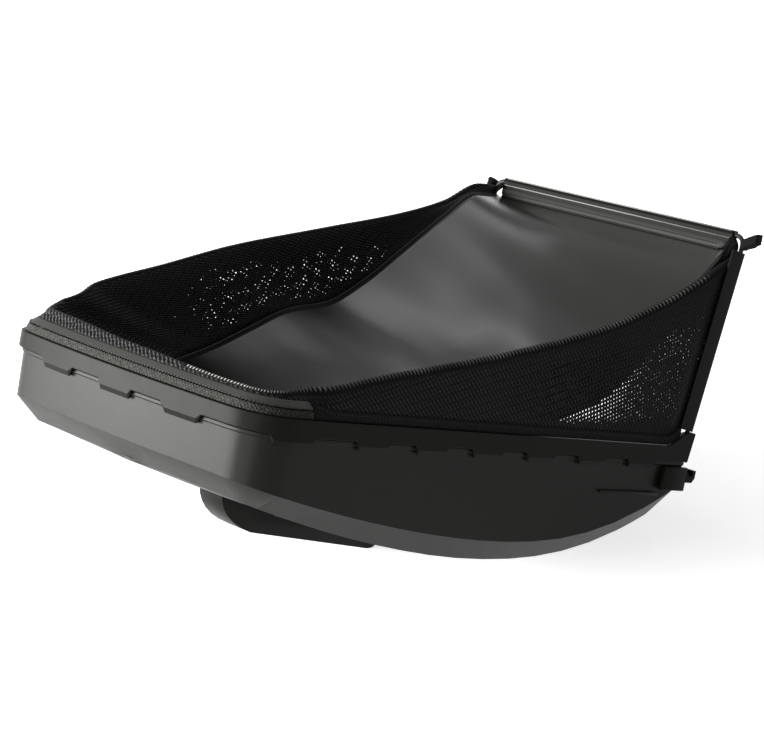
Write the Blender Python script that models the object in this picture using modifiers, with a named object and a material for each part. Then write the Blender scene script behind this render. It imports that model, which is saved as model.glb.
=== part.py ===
"""Grass catcher of a walk-behind lawn mower, lying upside down on its lid.

The hard lid is a deep moulded tray with a carrying handle. A snap rail round its rim holds a wall of
mesh and a coated base sheet, and a steel wire keeps the mouth open. Every piece is modelled in the
lid's own frame and parented to one empty: x to the side, y from the rear to the mouth, z up from the
plane of the rim. The empty leans that frame until the part rests on the handle and the lid's nose.
Sizes are in metres.
"""

import math

import bmesh
import bpy
from mathutils import Matrix, Vector

GAP = 0.0003  # air between pieces that touch
WELD = 0.00001
MERGE = 0.0001  # the reach of the merging modifiers
MOST_LEAN = 40.0  # degrees, the steepest lean that the search for the rest tries

# The lid's outline in plan, measured on the outside of the snap rail.
LENGTH = 0.640
HALF_REAR = 0.215
HALF_MOUTH = 0.210
REAR_BOW = 0.014
CORNER_RADIUS = 0.055
MOUTH_SLANT = 0.13  # how far the mouth's plane leans out for each metre of height

# The lid: its wall, crease, sloping edge band and crowned panel, as depths below the rim.
WALL = 0.0026
RIM_DROP = 0.0027
WALL_INSET = 0.0060
CREASE_INSET = 0.0080
BAND_WIDTH = 0.027
CREASE_REAR = 0.068
CREASE_DEEP = 0.1155
CREASE_MOUTH = 0.050
BAND_REAR = 0.085
BAND_DEEP = 0.142
BAND_MOUTH = 0.086
PANEL_REAR = 0.088
PANEL_DEEP = 0.1445
PANEL_MOUTH = 0.088
EDGE_DEEPEST_AT = 0.375
PANEL_DEEPEST_AT = 0.390
REAR_RISE = 1.7
EDGE_FALL = 2.5
PANEL_FALL = 2.5
PANEL_FLAT = 0.55  # the share of the way in at which the panel has reached its full depth
PANEL_REAR_PULL = 0.3  # how far forward the panel's middle line starts, for each unit of width
RECESS_DEEP = 0.014  # the dish above the grip, that leaves room for fingers
RECESS_HALF = 0.046
RECESS_EASE = 0.040
BEAD_OUT = 0.0016
BEAD_TOP = 0.0174
BEAD_HEIGHT = 0.0056
BEAD_SLOPE = 0.25  # the share of its height that each slope of the bead takes
PANEL_ROWS = (0.14, 0.32, 0.56, 0.74, 0.82, 0.89, 1.0)  # shares of the way in from the edge band

# The snap rail and its tabs.
RAIL_WALL = 0.0022
RAIL_FLANGE = 0.0085
RAIL_EDGE = 0.0008
STRIP_HEIGHT = 0.0165
TAB_HEIGHT = 0.0220
TAB_HOOK_DROP = 0.0052
TAB_HOOK_IN = 0.0026
STRIP_LIP = 0.0008
TAB_SLOPE = 0.007
REAR_TAB = 0.060
REAR_TAB_PITCH = 0.103
CORNER_TAB_START = 0.211
CORNER_TAB = 0.059
SIDE_TAB = 0.051
SIDE_TAB_PITCH = 0.0825
SIDE_TAB_START = 0.1245
SIDE_TABS_CLEAR = 0.040  # the least that the last tab stays from the mouth
SIDE_TABS = 1 + int((LENGTH - SIDE_TABS_CLEAR - SIDE_TAB_START - SIDE_TAB) / SIDE_TAB_PITCH)
RAIL_LIFT = 0.016
RAIL_LIFT_FROM = LENGTH - 0.042
LIFT_SHORT = 0.010
MARK_APART = 0.002

# Sewn bands on the rail.
BAND_THICK = 0.0016
WEBBING_HEIGHT = 0.0075
WEBBING_LEAN = 0.0025
TAPE_HEIGHT = 0.0070
TAPE_LEAN = 0.0080
BINDING_HEIGHT = 0.0100
BINDING_LEAN = 0.0010
BINDING_SHORT = 0.002  # what it leaves free before the leg's profile
BAND_INSET = 0.0045
BAND_STEP = 0.0006
BAND_CHANGE = 0.030
WEBBING_END = 0.262

# The wire frame and the profiles that snap on it.
WIRE = 0.0055
WIRE_BEND = 0.013
FRAME_HALF_TOP = HALF_MOUTH - 0.015
FRAME_ROOM = 0.0006
FRAME_HALF_FOOT = HALF_MOUTH - WALL_INSET - WALL - WIRE / 2 - FRAME_ROOM
FRAME_TOP = 0.240
FRAME_TOP_Y = LENGTH + MOUTH_SLANT * FRAME_TOP
FRAME_FOOT = -0.030
CLIP_WALL = 0.0024
CLIP_ROOM = 0.0004
CLIP_MOUTH = 70.0  # degrees that the C stands open
CHANNEL_FLANGE = 0.0160
LEG_FLANGE = 0.0200
FLANGE_THICK = 0.0020
CHANNEL_END_GAP = 0.0010
LEG_CLIP_LOW = RAIL_LIFT + 2 * GAP
LEG_CLIP_HIGH = 0.222

# The handle on the lid's middle.
HANDLE_REAR = 0.138
HANDLE_FRONT = 0.377
HANDLE_HALF = 0.019
HANDLE_GAP_REAR = 0.184
HANDLE_GAP_FRONT = 0.332
HANDLE_BAR = 0.025
HANDLE_DEEP = 0.1745
HANDLE_DEEP_FROM = 0.300
HANDLE_RISE = 0.0317  # how far its underside curves up from there to its rear end
HANDLE_CURVE = 2.2
HANDLE_EDGE = 0.006
HANDLE_NOSE = 0.016
HANDLE_SWEEP = 0.050
FOOT_PULL_IN = 0.004  # the bend of the rear foot: how far forward it bulges, and how far down
FOOT_PULL_DOWN = 0.72
GRIP_END_SLOPE = 0.006  # how far the ends of the finger gap lean

# The brackets and hooks at the mouth's corners.
BRACKET_REAR = LENGTH - 0.038
BRACKET_FRONT = LENGTH + 0.004
BRACKET_TOP = -(BEAD_TOP + BEAD_HEIGHT + GAP)
BRACKET_BOTTOM = -0.0500
BRACKET_DEPTH = 0.0065
BRACKET_ROUND = 0.0012
RIB_REAR = LENGTH - 0.135
RIB_DROP = 0.0070  # how far it lies below the bracket's underside
RIB_SIZE = 0.0030
RIB_ROUND = 0.0006
HOOK_LENGTH = 0.014
HOOK_TOP = -0.026
HOOK_BOTTOM = -0.040
HOOK_WIDTH = 0.016

# The cloth: a mesh wall that rises to a ridge and folds in to the base sheet. Its right side has
# slumped lower than its left.
CLOTH = 0.0014
RIDGE_INSET = 0.014
RIDGE_ROUND = 0.006
LEG_REACH = 0.020  # the stretch over which the wall draws in to the leg's flange
LEG_NEAR = 0.9  # the share of that stretch at which it is all the way in
RIDGE_RISE = 0.003  # the least that the ridge stands above the sewn bands
WALL_LEAN = 1.5  # the power by which the wall leans in late on its way up
WALL_FULL = 0.85  # the share of the way at which it has reached its full height
FOLD_SAG = 0.12  # how far the fold behind the ridge hangs, for each metre that it drops
MESH_SEAM_AT = HALF_REAR - 0.001  # along the rim, where the rear wall meets the side walls
SHEET_HALF_REAR = HALF_REAR - 0.067
SHEET_HALF_MOUTH = HALF_MOUTH - 0.029
SHEET_REAR = 0.135
SHEET_BOW = 0.010
SHEET_CORNER = 0.085
SHEET_MOUTH_AT = LENGTH - 0.012
SHEET_SAG = 0.012
SHEET_REAR_PULL = 0.3  # how far forward its middle line starts, for each unit of width
SEAM_SPREAD = 1.5  # how soon off the middle line the seam takes the height of its own side
SHEET_TUCK_SIDE = 0.002
PIPING = 0.0018
SEAM_ROOM = 0.0012
EAR_HEIGHT = 0.011
EAR_DEPTH = 0.011
EAR_FOOT = LEG_CLIP_HIGH + 0.0035
EAR_ROUND = 0.0018
EAR_REACH_LOW = 0.018  # on the slumped side
EAR_RISE_LOW = 0.010
EAR_REACH_HIGH = 0.008
EAR_RISE_HIGH = 0.004

# Heights above the rim at shares of the length from the rear: of the wall's ridge on each side, and
# of the seam between the wall and the sheet.
HIGH_RIDGE = (
    (0.031, 0.027), (0.084, 0.038), (0.156, 0.059), (0.273, 0.084), (0.416, 0.116), (0.608, 0.150),
    (0.787, 0.182), (0.877, 0.204), (0.950, 0.231), (1.000, 0.233),
)
LOW_RIDGE = (
    (0.031, 0.020), (0.117, 0.028), (0.255, 0.048), (0.461, 0.076), (0.700, 0.117), (0.834, 0.152),
    (0.917, 0.183), (0.989, 0.216), (1.000, 0.220),
)
HIGH_SEAM = (
    (0.211, -0.024), (0.302, -0.009), (0.361, 0.005), (0.441, 0.030), (0.527, 0.056),
    (0.620, 0.069), (0.695, 0.098), (0.767, 0.137), (0.850, 0.183), (0.925, 0.219), (0.981, 0.221),
)
LOW_SEAM = (
    (0.211, -0.026), (0.391, -0.028), (0.542, -0.012), (0.672, 0.008), (0.783, 0.034),
    (0.855, 0.076), (0.914, 0.135), (0.948, 0.180), (0.981, 0.213),
)

PARTS = "grass_catcher"


def mix(a, b, t):
    return a + (b - a) * t


def ease(t):
    t = min(1.0, max(0.0, t))
    return t * t * (3 - 2 * t)


def depth_at(y, rear, deep, mouth, deepest_at, fall):
    """The depth of one long line of the lid, a distance y from the rear."""
    if y < deepest_at:
        return mix(deep, rear, (1 - max(y, 0.0) / deepest_at) ** REAR_RISE)
    return mix(deep, mouth, ((y - deepest_at) / (LENGTH - deepest_at)) ** fall)


def crease_depth(y):
    return depth_at(y, CREASE_REAR, CREASE_DEEP, CREASE_MOUTH, EDGE_DEEPEST_AT, EDGE_FALL)


def band_depth(y):
    return depth_at(y, BAND_REAR, BAND_DEEP, BAND_MOUTH, EDGE_DEEPEST_AT, EDGE_FALL)


def panel_depth(y):
    return depth_at(y, PANEL_REAR, PANEL_DEEP, PANEL_MOUTH, PANEL_DEEPEST_AT, PANEL_FALL)


class Outline:
    """Half of a round-cornered plan, from the middle of its rear to the mouth, by distance along it."""

    def __init__(self, half_rear, half_mouth, rear, mouth, bow, radius):
        rear_way = Vector((1, 2 * bow / half_rear)).normalized()
        side_way = Vector((half_mouth - half_rear, mouth - rear)).normalized()
        turn = rear_way.angle(side_way)
        reach = radius * math.tan(turn / 2)
        corner = Vector((half_rear, rear))
        rear_end = half_rear - reach * rear_way.x
        steps = 40
        self.points = []
        for i in range(steps + 1):
            x = rear_end * i / steps
            self.points.append(Vector((x, rear - bow * (1 - (x / half_rear) ** 2))))
        start = self.points.pop()
        end = corner + side_way * reach
        pull = math.cos(turn / 2)
        for i in range(steps + 1):
            t = i / steps
            weights = ((1 - t) ** 2, 2 * t * (1 - t) * pull, t * t)
            bent = start * weights[0] + corner * weights[1] + end * weights[2]
            self.points.append(bent / sum(weights))
        self.points.append(Vector((half_mouth, mouth)))
        self.along = [0.0]
        for a, b in zip(self.points, self.points[1:]):
            self.along.append(self.along[-1] + (b - a).length)
        self.length = self.along[-1]
        self.corner_from = self.along[steps]
        self.side_from = self.along[-2]
        self.side_y = self.points[-2].y
        self.mouth_y = mouth

    def at(self, s, inset=0.0):
        s = min(max(s, 0.0), self.length)
        i = 0
        while i < len(self.along) - 2 and self.along[i + 1] < s:
            i += 1
        t = (s - self.along[i]) / (self.along[i + 1] - self.along[i])
        way = self.direction(i, t)
        return self.points[i].lerp(self.points[i + 1], t) + Vector((-way.y, way.x)) * inset

    def direction(self, i, t):
        """The way along the outline, eased between its segments so that insets stay smooth."""
        ways = []
        for k in (i - 1, i, i + 1):
            if 0 <= k < len(self.points) - 1:
                ways.append((self.points[k + 1] - self.points[k]).normalized())
            else:
                ways.append(Vector((1, 0)) if k < 0 else ways[-1])
        first = (ways[0] + ways[1]).normalized()
        last = (ways[1] + ways[2]).normalized()
        return first.lerp(last, t).normalized()

    def on_side(self, y):
        """The distance along the outline at which its side reaches y."""
        return mix(self.side_from, self.length, (y - self.side_y) / (self.mouth_y - self.side_y))

    def matching(self, other, s):
        """The distance along this outline that matches s on the other: rear, corner and side alike."""
        if s < other.corner_from:
            return self.corner_from * s / other.corner_from
        if s < other.side_from:
            share = (s - other.corner_from) / (other.side_from - other.corner_from)
            return mix(self.corner_from, self.side_from, share)
        return mix(self.side_from, self.length, (s - other.side_from) / (other.length - other.side_from))


OUTLINE = Outline(HALF_REAR, HALF_MOUTH, 0.0, LENGTH, REAR_BOW, CORNER_RADIUS)
SHEET = Outline(
    SHEET_HALF_REAR, SHEET_HALF_MOUTH, SHEET_REAR, SHEET_MOUTH_AT, SHEET_BOW, SHEET_CORNER
)


def slanted(x, y, z):
    """A point of the lid, with the mouth's lean."""
    return Vector((x, y + MOUTH_SLANT * z * max(0.0, y) / LENGTH, z))


def shared_marks():
    """Distances along the rim at which every band and wall bends, so that they stay apart."""
    marks = [WEBBING_END + BAND_CHANGE * k / 5 for k in range(6)]
    lift_to = LENGTH - LIFT_SHORT
    marks += [OUTLINE.on_side(mix(RAIL_LIFT_FROM, lift_to, k / 6)) for k in range(7)]
    marks.append(OUTLINE.on_side(LENGTH - LEG_FLANGE - BINDING_SHORT))
    return sorted(marks)


def stations(rear, corner, side, start=0.0, end=None):
    """Distances along the outline: so many steps on the rear, the corner and the side."""
    end = OUTLINE.length if end is None else end
    marks = [m for m in shared_marks() if start < m < end] + [start, end]
    turns = (0.0, OUTLINE.corner_from, OUTLINE.side_from, OUTLINE.length)
    for low, high, count in zip(turns, turns[1:], (rear, corner, side)):
        for i in range(count):
            s = mix(low, high, i / count)
            if start < s < end and all(abs(m - s) > MARK_APART for m in marks):
                marks.append(s)
    return sorted(marks)


def clear_scene():
    for thing in list(bpy.data.objects):
        bpy.data.objects.remove(thing, do_unlink=True)


def collection(name):
    group = bpy.data.collections.get(name) or bpy.data.collections.new(name)
    if name not in bpy.context.scene.collection.children:
        bpy.context.scene.collection.children.link(group)
    return group


def material(name, colour, roughness, metallic=0.0):
    made = bpy.data.materials.get(name) or bpy.data.materials.new(name)
    made.use_nodes = True
    shader = made.node_tree.nodes["Principled BSDF"]
    shader.inputs["Base Color"].default_value = (*colour, 1)
    shader.inputs["Roughness"].default_value = roughness
    shader.inputs["Metallic"].default_value = metallic
    return made


def lid_plastic(name):
    return material(name, (0.018, 0.019, 0.018), 0.45)


def cloth_black(name):
    return material(name, (0.006, 0.006, 0.007), 0.85)


def place(name, data, finish, base):
    """One named piece with its own material, in the parts' collection, under the base."""
    piece = bpy.data.objects.new(name, data)
    data.materials.append(finish)
    piece.parent = base
    collection(PARTS).objects.link(piece)
    return piece


def surface(name, rows):
    """An open surface lofted through rows of points, from the outer edge of its front inward."""
    mesh = bmesh.new()
    grid = [[mesh.verts.new(p) for p in row] for row in rows]
    for first, second in zip(grid, grid[1:]):
        for a, b, c, d in zip(first, first[1:], second[1:], second):
            mesh.faces.new((d, c, b, a))
    bmesh.ops.remove_doubles(mesh, verts=mesh.verts, dist=WELD)
    data = bpy.data.meshes.new(name)
    mesh.to_mesh(data)
    mesh.free()
    data.shade_smooth()
    data.set_sharp_from_angle(angle=math.radians(35))
    return data


def thicken(piece, thickness, offset):
    skin = piece.modifiers.new("wall", "SOLIDIFY")
    skin.thickness = thickness
    skin.offset = offset
    skin.use_even_offset = True
    return skin


def mirror_x(piece):
    both = piece.modifiers.new("other side", "MIRROR")
    both.use_axis = (True, False, False)
    both.use_clip = True
    both.merge_threshold = MERGE
    return both


def soften(piece, width, segments=2, angle=40):
    edge = piece.modifiers.new("edge", "BEVEL")
    edge.width = width
    edge.segments = segments
    edge.limit_method = "ANGLE"
    edge.angle_limit = math.radians(angle)
    return edge


def box(name, low, high, sign, finish, base, round_by=0.0):
    """A block between two corners given for the right side, with its edges rounded."""
    mesh = bmesh.new()
    bmesh.ops.create_cube(mesh, size=1.0)
    for v in mesh.verts:
        spot = [mix(low[k], high[k], v.co[k] + 0.5) for k in range(3)]
        if sign < 0:
            spot[0] = mix(-high[0], -low[0], v.co.x + 0.5)
        v.co = Vector(spot)
    data = bpy.data.meshes.new(name)
    mesh.to_mesh(data)
    mesh.free()
    piece = place(name, data, finish, base)
    if round_by:
        soften(piece, round_by)
    return piece


def extrusion(name, outline, half_length, finish, base):
    """A flat closed outline, extruded both ways from its plane."""
    curve = bpy.data.curves.new(name, "CURVE")
    curve.dimensions = "2D"
    curve.fill_mode = "BOTH"
    curve.extrude = half_length
    line = curve.splines.new("POLY")
    line.points.add(len(outline) - 1)
    for point, (u, v) in zip(line.points, outline):
        point.co = (u, v, 0, 1)
    line.use_cyclic_u = True
    return place(name, curve, finish, base)


def wire(name, points, radius, finish, base, resolution=2):
    """A round rod or cord through a list of points."""
    curve = bpy.data.curves.new(name, "CURVE")
    curve.dimensions = "3D"
    curve.bevel_depth = radius
    curve.bevel_resolution = resolution
    curve.use_fill_caps = True
    line = curve.splines.new("POLY")
    line.points.add(len(points) - 1)
    for point, place_at in zip(line.points, points):
        point.co = (*place_at, 1)
    return place(name, curve, finish, base)


def lid_rows():
    """Rows of the lid's outer skin on one side, from the rim down to the middle of the panel."""
    marks = stations(rear=8, corner=12, side=14)
    rim_rows = (
        (WALL_INSET, RIM_DROP),
        (WALL_INSET, BEAD_TOP),
        (WALL_INSET - BEAD_OUT, BEAD_TOP + BEAD_HEIGHT * BEAD_SLOPE),
        (WALL_INSET - BEAD_OUT, BEAD_TOP + BEAD_HEIGHT * (1 - BEAD_SLOPE)),
        (WALL_INSET, BEAD_TOP + BEAD_HEIGHT),
    )
    rows = []
    for inset, depth in rim_rows:
        rows.append([slanted(*OUTLINE.at(s, inset), -depth) for s in marks])
    rows.append([])
    rows.append([])
    for s in marks:
        p = OUTLINE.at(s, CREASE_INSET)
        rows[-2].append(slanted(p.x, p.y, -crease_depth(p.y)))
        p = OUTLINE.at(s, CREASE_INSET + BAND_WIDTH)
        rows[-1].append(slanted(p.x, p.y, -band_depth(p.y)))
    for share in PANEL_ROWS:
        rows.append([panel_point(s, share) for s in marks])
    return rows


def panel_point(s, share):
    """A point of the lid's panel: share 0 is its edge band and share 1 the middle line."""
    edge = OUTLINE.at(s, CREASE_INSET + BAND_WIDTH)
    middle = Vector((0, edge.y + PANEL_REAR_PULL * edge.x * (1 - edge.y / LENGTH)))
    p = edge.lerp(middle, share)
    depth = mix(band_depth(p.y), panel_depth(p.y), ease(share / PANEL_FLAT))
    return slanted(p.x, p.y, recess(p.x, p.y) - depth)


def recess(x, y):
    """How far the panel is dished above the grip."""
    along = ease((y - HANDLE_GAP_REAR) / RECESS_EASE) * ease((HANDLE_GAP_FRONT - y) / RECESS_EASE)
    across = ease((RECESS_HALF - abs(x)) / (RECESS_HALF - HANDLE_HALF))
    return RECESS_DEEP * along * across


def add_lid(base):
    piece = place("cover_shell", surface("cover_shell", lid_rows()), lid_plastic("lid plastic"), base)
    mirror_x(piece)
    thicken(piece, WALL, -1)
    return piece


def tab_spans():
    """Where the tabs start and end along the outline, at their roots."""
    spans = [(-REAR_TAB / 2, REAR_TAB / 2)]
    spans.append((REAR_TAB_PITCH - REAR_TAB / 2, REAR_TAB_PITCH + REAR_TAB / 2))
    spans.append((CORNER_TAB_START, CORNER_TAB_START + CORNER_TAB))
    for k in range(SIDE_TABS):
        start = SIDE_TAB_START + SIDE_TAB_PITCH * k
        spans.append((OUTLINE.on_side(start), OUTLINE.on_side(start + SIDE_TAB)))
    return spans


def rail_marks():
    """Distances along the rail, each with how far it is in a tab: 0 in a gap and 1 in a tab."""
    marks = {}
    for s in stations(rear=6, corner=12, side=10):
        marks[s] = None
    for start, end in tab_spans():
        marks[start] = 0.0
        marks[start + TAB_SLOPE] = 1.0
        marks[end - TAB_SLOPE] = 1.0
        marks[end] = 0.0
    kept = []
    for s in sorted(marks):
        if s < 0 or s > OUTLINE.length:
            continue
        inside = marks[s]
        if inside is None:
            near = [m for m, v in marks.items() if v is not None and abs(m - s) < MARK_APART]
            if near and s not in (0.0, OUTLINE.length):
                continue
            inside = 1.0 if any(a + TAB_SLOPE <= s <= b - TAB_SLOPE for a, b in tab_spans()) else 0.0
        kept.append((s, inside))
    return kept


def rail_lift(y):
    return RAIL_LIFT * ease((y - RAIL_LIFT_FROM) / (LENGTH - LIFT_SHORT - RAIL_LIFT_FROM))


def add_rail(base):
    rows = [[], [], [], [], []]
    for s, inside in rail_marks():
        lift = rail_lift(OUTLINE.at(s).y)
        end = mix(STRIP_HEIGHT, TAB_HEIGHT, inside)
        hook_in = mix(STRIP_LIP / 2, TAB_HOOK_IN, inside)
        hook_end = end + mix(STRIP_LIP, TAB_HOOK_DROP, inside)
        section = ((RAIL_FLANGE, lift), (RAIL_EDGE, lift), (0.0, lift - RAIL_EDGE), (0.0, -end))
        for row, (inset, z) in zip(rows, (*section, (hook_in, -hook_end))):
            row.append(slanted(*OUTLINE.at(s, inset), z))
    piece = place("rim_rail", surface("rim_rail", rows), lid_plastic("rail plastic"), base)
    mirror_x(piece)
    thicken(piece, RAIL_WALL, -1)
    return piece


def band_top(s):
    """How far in the sewn bands reach at their top edge, and how high: less beside the side walls."""
    share = ease((s - WEBBING_END) / BAND_CHANGE)
    rear_in = BAND_INSET + WEBBING_LEAN + BAND_STEP + TAPE_LEAN
    rear_up = GAP + WEBBING_HEIGHT + 2 * GAP + TAPE_HEIGHT
    lift = rail_lift(OUTLINE.at(s).y)
    return mix(rear_in, BAND_INSET + BINDING_LEAN, share), lift + mix(rear_up, GAP + BINDING_HEIGHT, share)


def both_sides(marks):
    """The same marks on both sides, from the left side's last round the rear to the right side's."""
    return [(-1, s) for s in reversed(marks)] + [(1, s) for s in marks if s > 0]


def band_piece(name, line, foot, top, finish, base):
    """A band of cloth between two heights, along marks of the outline; foot and top give (inset, z)."""
    rows = []
    for share in (0.0, 0.5, 1.0):
        row = []
        for side, s in line:
            low = foot(s)
            high = top(s)
            p = OUTLINE.at(s, mix(low[0], high[0], share))
            q = slanted(p.x, p.y, mix(low[1], high[1], share))
            row.append(Vector((q.x * side, q.y, q.z)))
        rows.append(row)
    piece = place(name, surface(name, rows), finish, base)
    thicken(piece, BAND_THICK, 0)
    return piece


def rail_top(s):
    return BAND_INSET, rail_lift(OUTLINE.at(s).y) + 2 * GAP


def webbing_top(s):
    return BAND_INSET + WEBBING_LEAN, GAP + WEBBING_HEIGHT


def tape_foot(s):
    return BAND_INSET + WEBBING_LEAN + BAND_STEP, WEBBING_HEIGHT + 3 * GAP + BAND_THICK / 2


def add_bands(base):
    rear = stations(rear=8, corner=12, side=16, end=WEBBING_END)
    side_end = OUTLINE.on_side(LENGTH - LEG_FLANGE - BINDING_SHORT)
    side = stations(rear=8, corner=12, side=16, start=WEBBING_END + 2 * GAP, end=side_end)
    web = material("woven webbing", (0.03, 0.03, 0.03), 0.9)
    tape = material("smooth tape", (0.02, 0.02, 0.021), 0.6)
    band_piece("rim_webbing", both_sides(rear), rail_top, webbing_top, web, base)
    band_piece("rim_tape", both_sides(rear), tape_foot, band_top, tape, base)
    for side_name, sign in (("left", -1), ("right", 1)):
        name = f"rim_binding_{side_name}"
        black = cloth_black(f"binding {side_name}")
        line = [(sign, s) for s in side][::sign]
        band_piece(name, line, rail_top, band_top, black, base)


def frame_line(half_top, half_foot, top, foot, bend):
    """Points of the wire from one foot over the top to the other foot."""
    foot_y = LENGTH + MOUTH_SLANT * foot
    corner = Vector((half_top, FRAME_TOP_Y, top))
    down = (Vector((half_foot, foot_y, foot)) - corner).normalized()
    start = Vector((half_foot, foot_y, foot))
    leg_end = corner + down * bend
    top_start = corner + Vector((-bend, 0, 0))
    half = [start, start.lerp(leg_end, 0.5)]
    steps = 5
    for i in range(steps + 1):
        t = i / steps
        half.append(leg_end * (1 - t) ** 2 + corner * (2 * t * (1 - t)) + top_start * t * t)
    other = [Vector((-p.x, p.y, p.z)) for p in reversed(half)]
    return half + other


def clip_radius():
    return WIRE / 2 + CLIP_ROOM + CLIP_WALL


def clip_outline(flange):
    """Section of a snap profile: a C round the wire, open to +u, with a flat flange along -u at -v."""
    inner = WIRE / 2 + CLIP_ROOM
    outer = clip_radius()
    half_mouth = math.radians(CLIP_MOUTH / 2)
    steps = 12
    outside = []
    inside = []
    for i in range(steps + 1):
        angle = mix(half_mouth, 2 * math.pi - half_mouth, i / steps)
        outside.append((outer * math.cos(angle), outer * math.sin(angle)))
        inside.append((inner * math.cos(angle), inner * math.sin(angle)))
    reach = -math.sqrt(outer**2 - (outer - FLANGE_THICK) ** 2)
    upper = [p for p in outside if not (p[0] < 0 and p[1] < FLANGE_THICK - outer)]
    before = [p for p in upper if p[1] > 0 or p[0] < 0]
    after = [p for p in upper if p not in before]
    tail = [(reach, FLANGE_THICK - outer), (-flange, FLANGE_THICK - outer), (-flange, -outer), (0, -outer)]
    return before + tail + after + list(reversed(inside))


def wire_at(z, sign):
    """The wire leg's middle at a height."""
    share = (z - FRAME_FOOT) / (FRAME_TOP - FRAME_FOOT)
    foot_y = LENGTH + MOUTH_SLANT * FRAME_FOOT
    x = mix(FRAME_HALF_FOOT, FRAME_HALF_TOP, share)
    return Vector((sign * x, mix(foot_y, FRAME_TOP_Y, share), z))


def add_mouth_frame(base):
    steel = material("coated wire", (0.012, 0.012, 0.012), 0.35, 0.2)
    line = frame_line(FRAME_HALF_TOP, FRAME_HALF_FOOT, FRAME_TOP, FRAME_FOOT, WIRE_BEND)
    wire("wire_frame", line, WIRE / 2, steel, base)
    half = FRAME_HALF_TOP - WIRE_BEND - CHANNEL_END_GAP
    finish = lid_plastic("channel plastic")
    channel = extrusion("mouth_channel", clip_outline(CHANNEL_FLANGE), half, finish, base)
    # The flange hangs down at the rear of the wire, and the C opens upward.
    up = Vector((0, 0, 1))
    mouthward = Vector((0, 1, 0))
    set_axes(channel, up, mouthward, Vector((0, FRAME_TOP_Y, FRAME_TOP)))
    for side_name, sign in (("left", -1), ("right", 1)):
        low = wire_at(LEG_CLIP_LOW, sign)
        high = wire_at(LEG_CLIP_HIGH, sign)
        along = (high - low).normalized()
        forward = (mouthward - along * mouthward.dot(along)).normalized()
        inward = along.cross(forward) * sign
        finish = lid_plastic(f"leg plastic {side_name}")
        outline = clip_outline(LEG_FLANGE)
        leg = extrusion(f"leg_profile_{side_name}", outline, (high - low).length / 2, finish, base)
        set_axes(leg, forward, inward, (low + high) / 2)


def set_axes(piece, u, v, middle):
    """Turns a piece so that its x axis lies along u and its y axis along v, about its middle."""
    w = u.cross(v)
    turned = Matrix((u, v, w)).transposed().to_4x4()
    piece.matrix_local = Matrix.Translation(middle) @ turned


def panel_under(y):
    """The lowest height of the lid's panel on the middle line, at the shown y of the slanted lid."""
    raw = y
    for _ in range(4):
        raw = y + MOUTH_SLANT * panel_depth(raw) * raw / LENGTH
    return -panel_depth(raw)


def handle_bottom(y):
    """Height of the handle's underside, level in front and curving up to the rear."""
    share = max(0.0, (HANDLE_DEEP_FROM - y) / (HANDLE_DEEP_FROM - HANDLE_REAR))
    return HANDLE_RISE * share**HANDLE_CURVE - HANDLE_DEEP


def handle_outline():
    """The handle's side view: swept rear foot, grip bar, blunt front foot, and the finger gap."""
    points = []
    steps = 6
    root = Vector((HANDLE_REAR, panel_under(HANDLE_REAR) - GAP))
    sweep_end = Vector((HANDLE_REAR + HANDLE_SWEEP, handle_bottom(HANDLE_REAR + HANDLE_SWEEP)))
    pull = Vector((HANDLE_REAR + FOOT_PULL_IN, mix(root.y, sweep_end.y, FOOT_PULL_DOWN)))
    for i in range(steps + 1):
        t = i / steps
        points.append(root * (1 - t) ** 2 + pull * (2 * t * (1 - t)) + sweep_end * t * t)
    nose = Vector((HANDLE_FRONT, handle_bottom(HANDLE_FRONT)))
    nose_start = Vector((HANDLE_FRONT - HANDLE_NOSE, handle_bottom(HANDLE_FRONT - HANDLE_NOSE)))
    nose_end = nose + Vector((0, HANDLE_NOSE))
    for i in range(steps + 1):
        t = i / steps
        points.append(nose_start * (1 - t) ** 2 + nose * (2 * t * (1 - t)) + nose_end * t * t)
    return points


def seat(y_from, y_to, steps):
    """Points just under the lid's panel, from one y to another."""
    line = []
    for i in range(steps + 1):
        y = mix(y_from, y_to, i / steps)
        line.append(Vector((y, panel_under(y) - GAP)))
    return line


def add_handle(base):
    outline = handle_outline()
    outline += seat(HANDLE_FRONT, HANDLE_GAP_FRONT, 4)
    grip_front = HANDLE_GAP_FRONT - GRIP_END_SLOPE
    outline.append(Vector((grip_front, handle_bottom(grip_front) + HANDLE_BAR)))
    for share in (0.75, 0.5, 0.25):
        y = mix(HANDLE_GAP_REAR, grip_front, share)
        outline.append(Vector((y, handle_bottom(y) + HANDLE_BAR)))
    outline += seat(HANDLE_GAP_REAR, HANDLE_REAR, 5)[:-1]
    handle = extrusion("carry_handle", outline, HANDLE_HALF, lid_plastic("handle plastic"), base)
    handle.matrix_local = Matrix(((0, 0, 1, 0), (1, 0, 0, 0), (0, 1, 0, 0), (0, 0, 0, 1)))
    weld = handle.modifiers.new("weld", "WELD")
    weld.merge_threshold = MERGE
    soften(handle, HANDLE_EDGE, segments=3, angle=60)


def wall_inset(y, depth):
    """How far in the lid's side wall stands at a depth below the rim."""
    wall_top = BEAD_TOP + BEAD_HEIGHT
    share = (depth - wall_top) / (crease_depth(y) - wall_top)
    return mix(WALL_INSET, CREASE_INSET, max(0.0, share))


def lid_wall_x(rear, front, depth):
    """How far out a straight piece starts that sits on the lid's side wall, its top at a depth."""
    return max(OUTLINE.at(OUTLINE.on_side(y), wall_inset(y, depth) - GAP).x for y in (rear, front))


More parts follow.
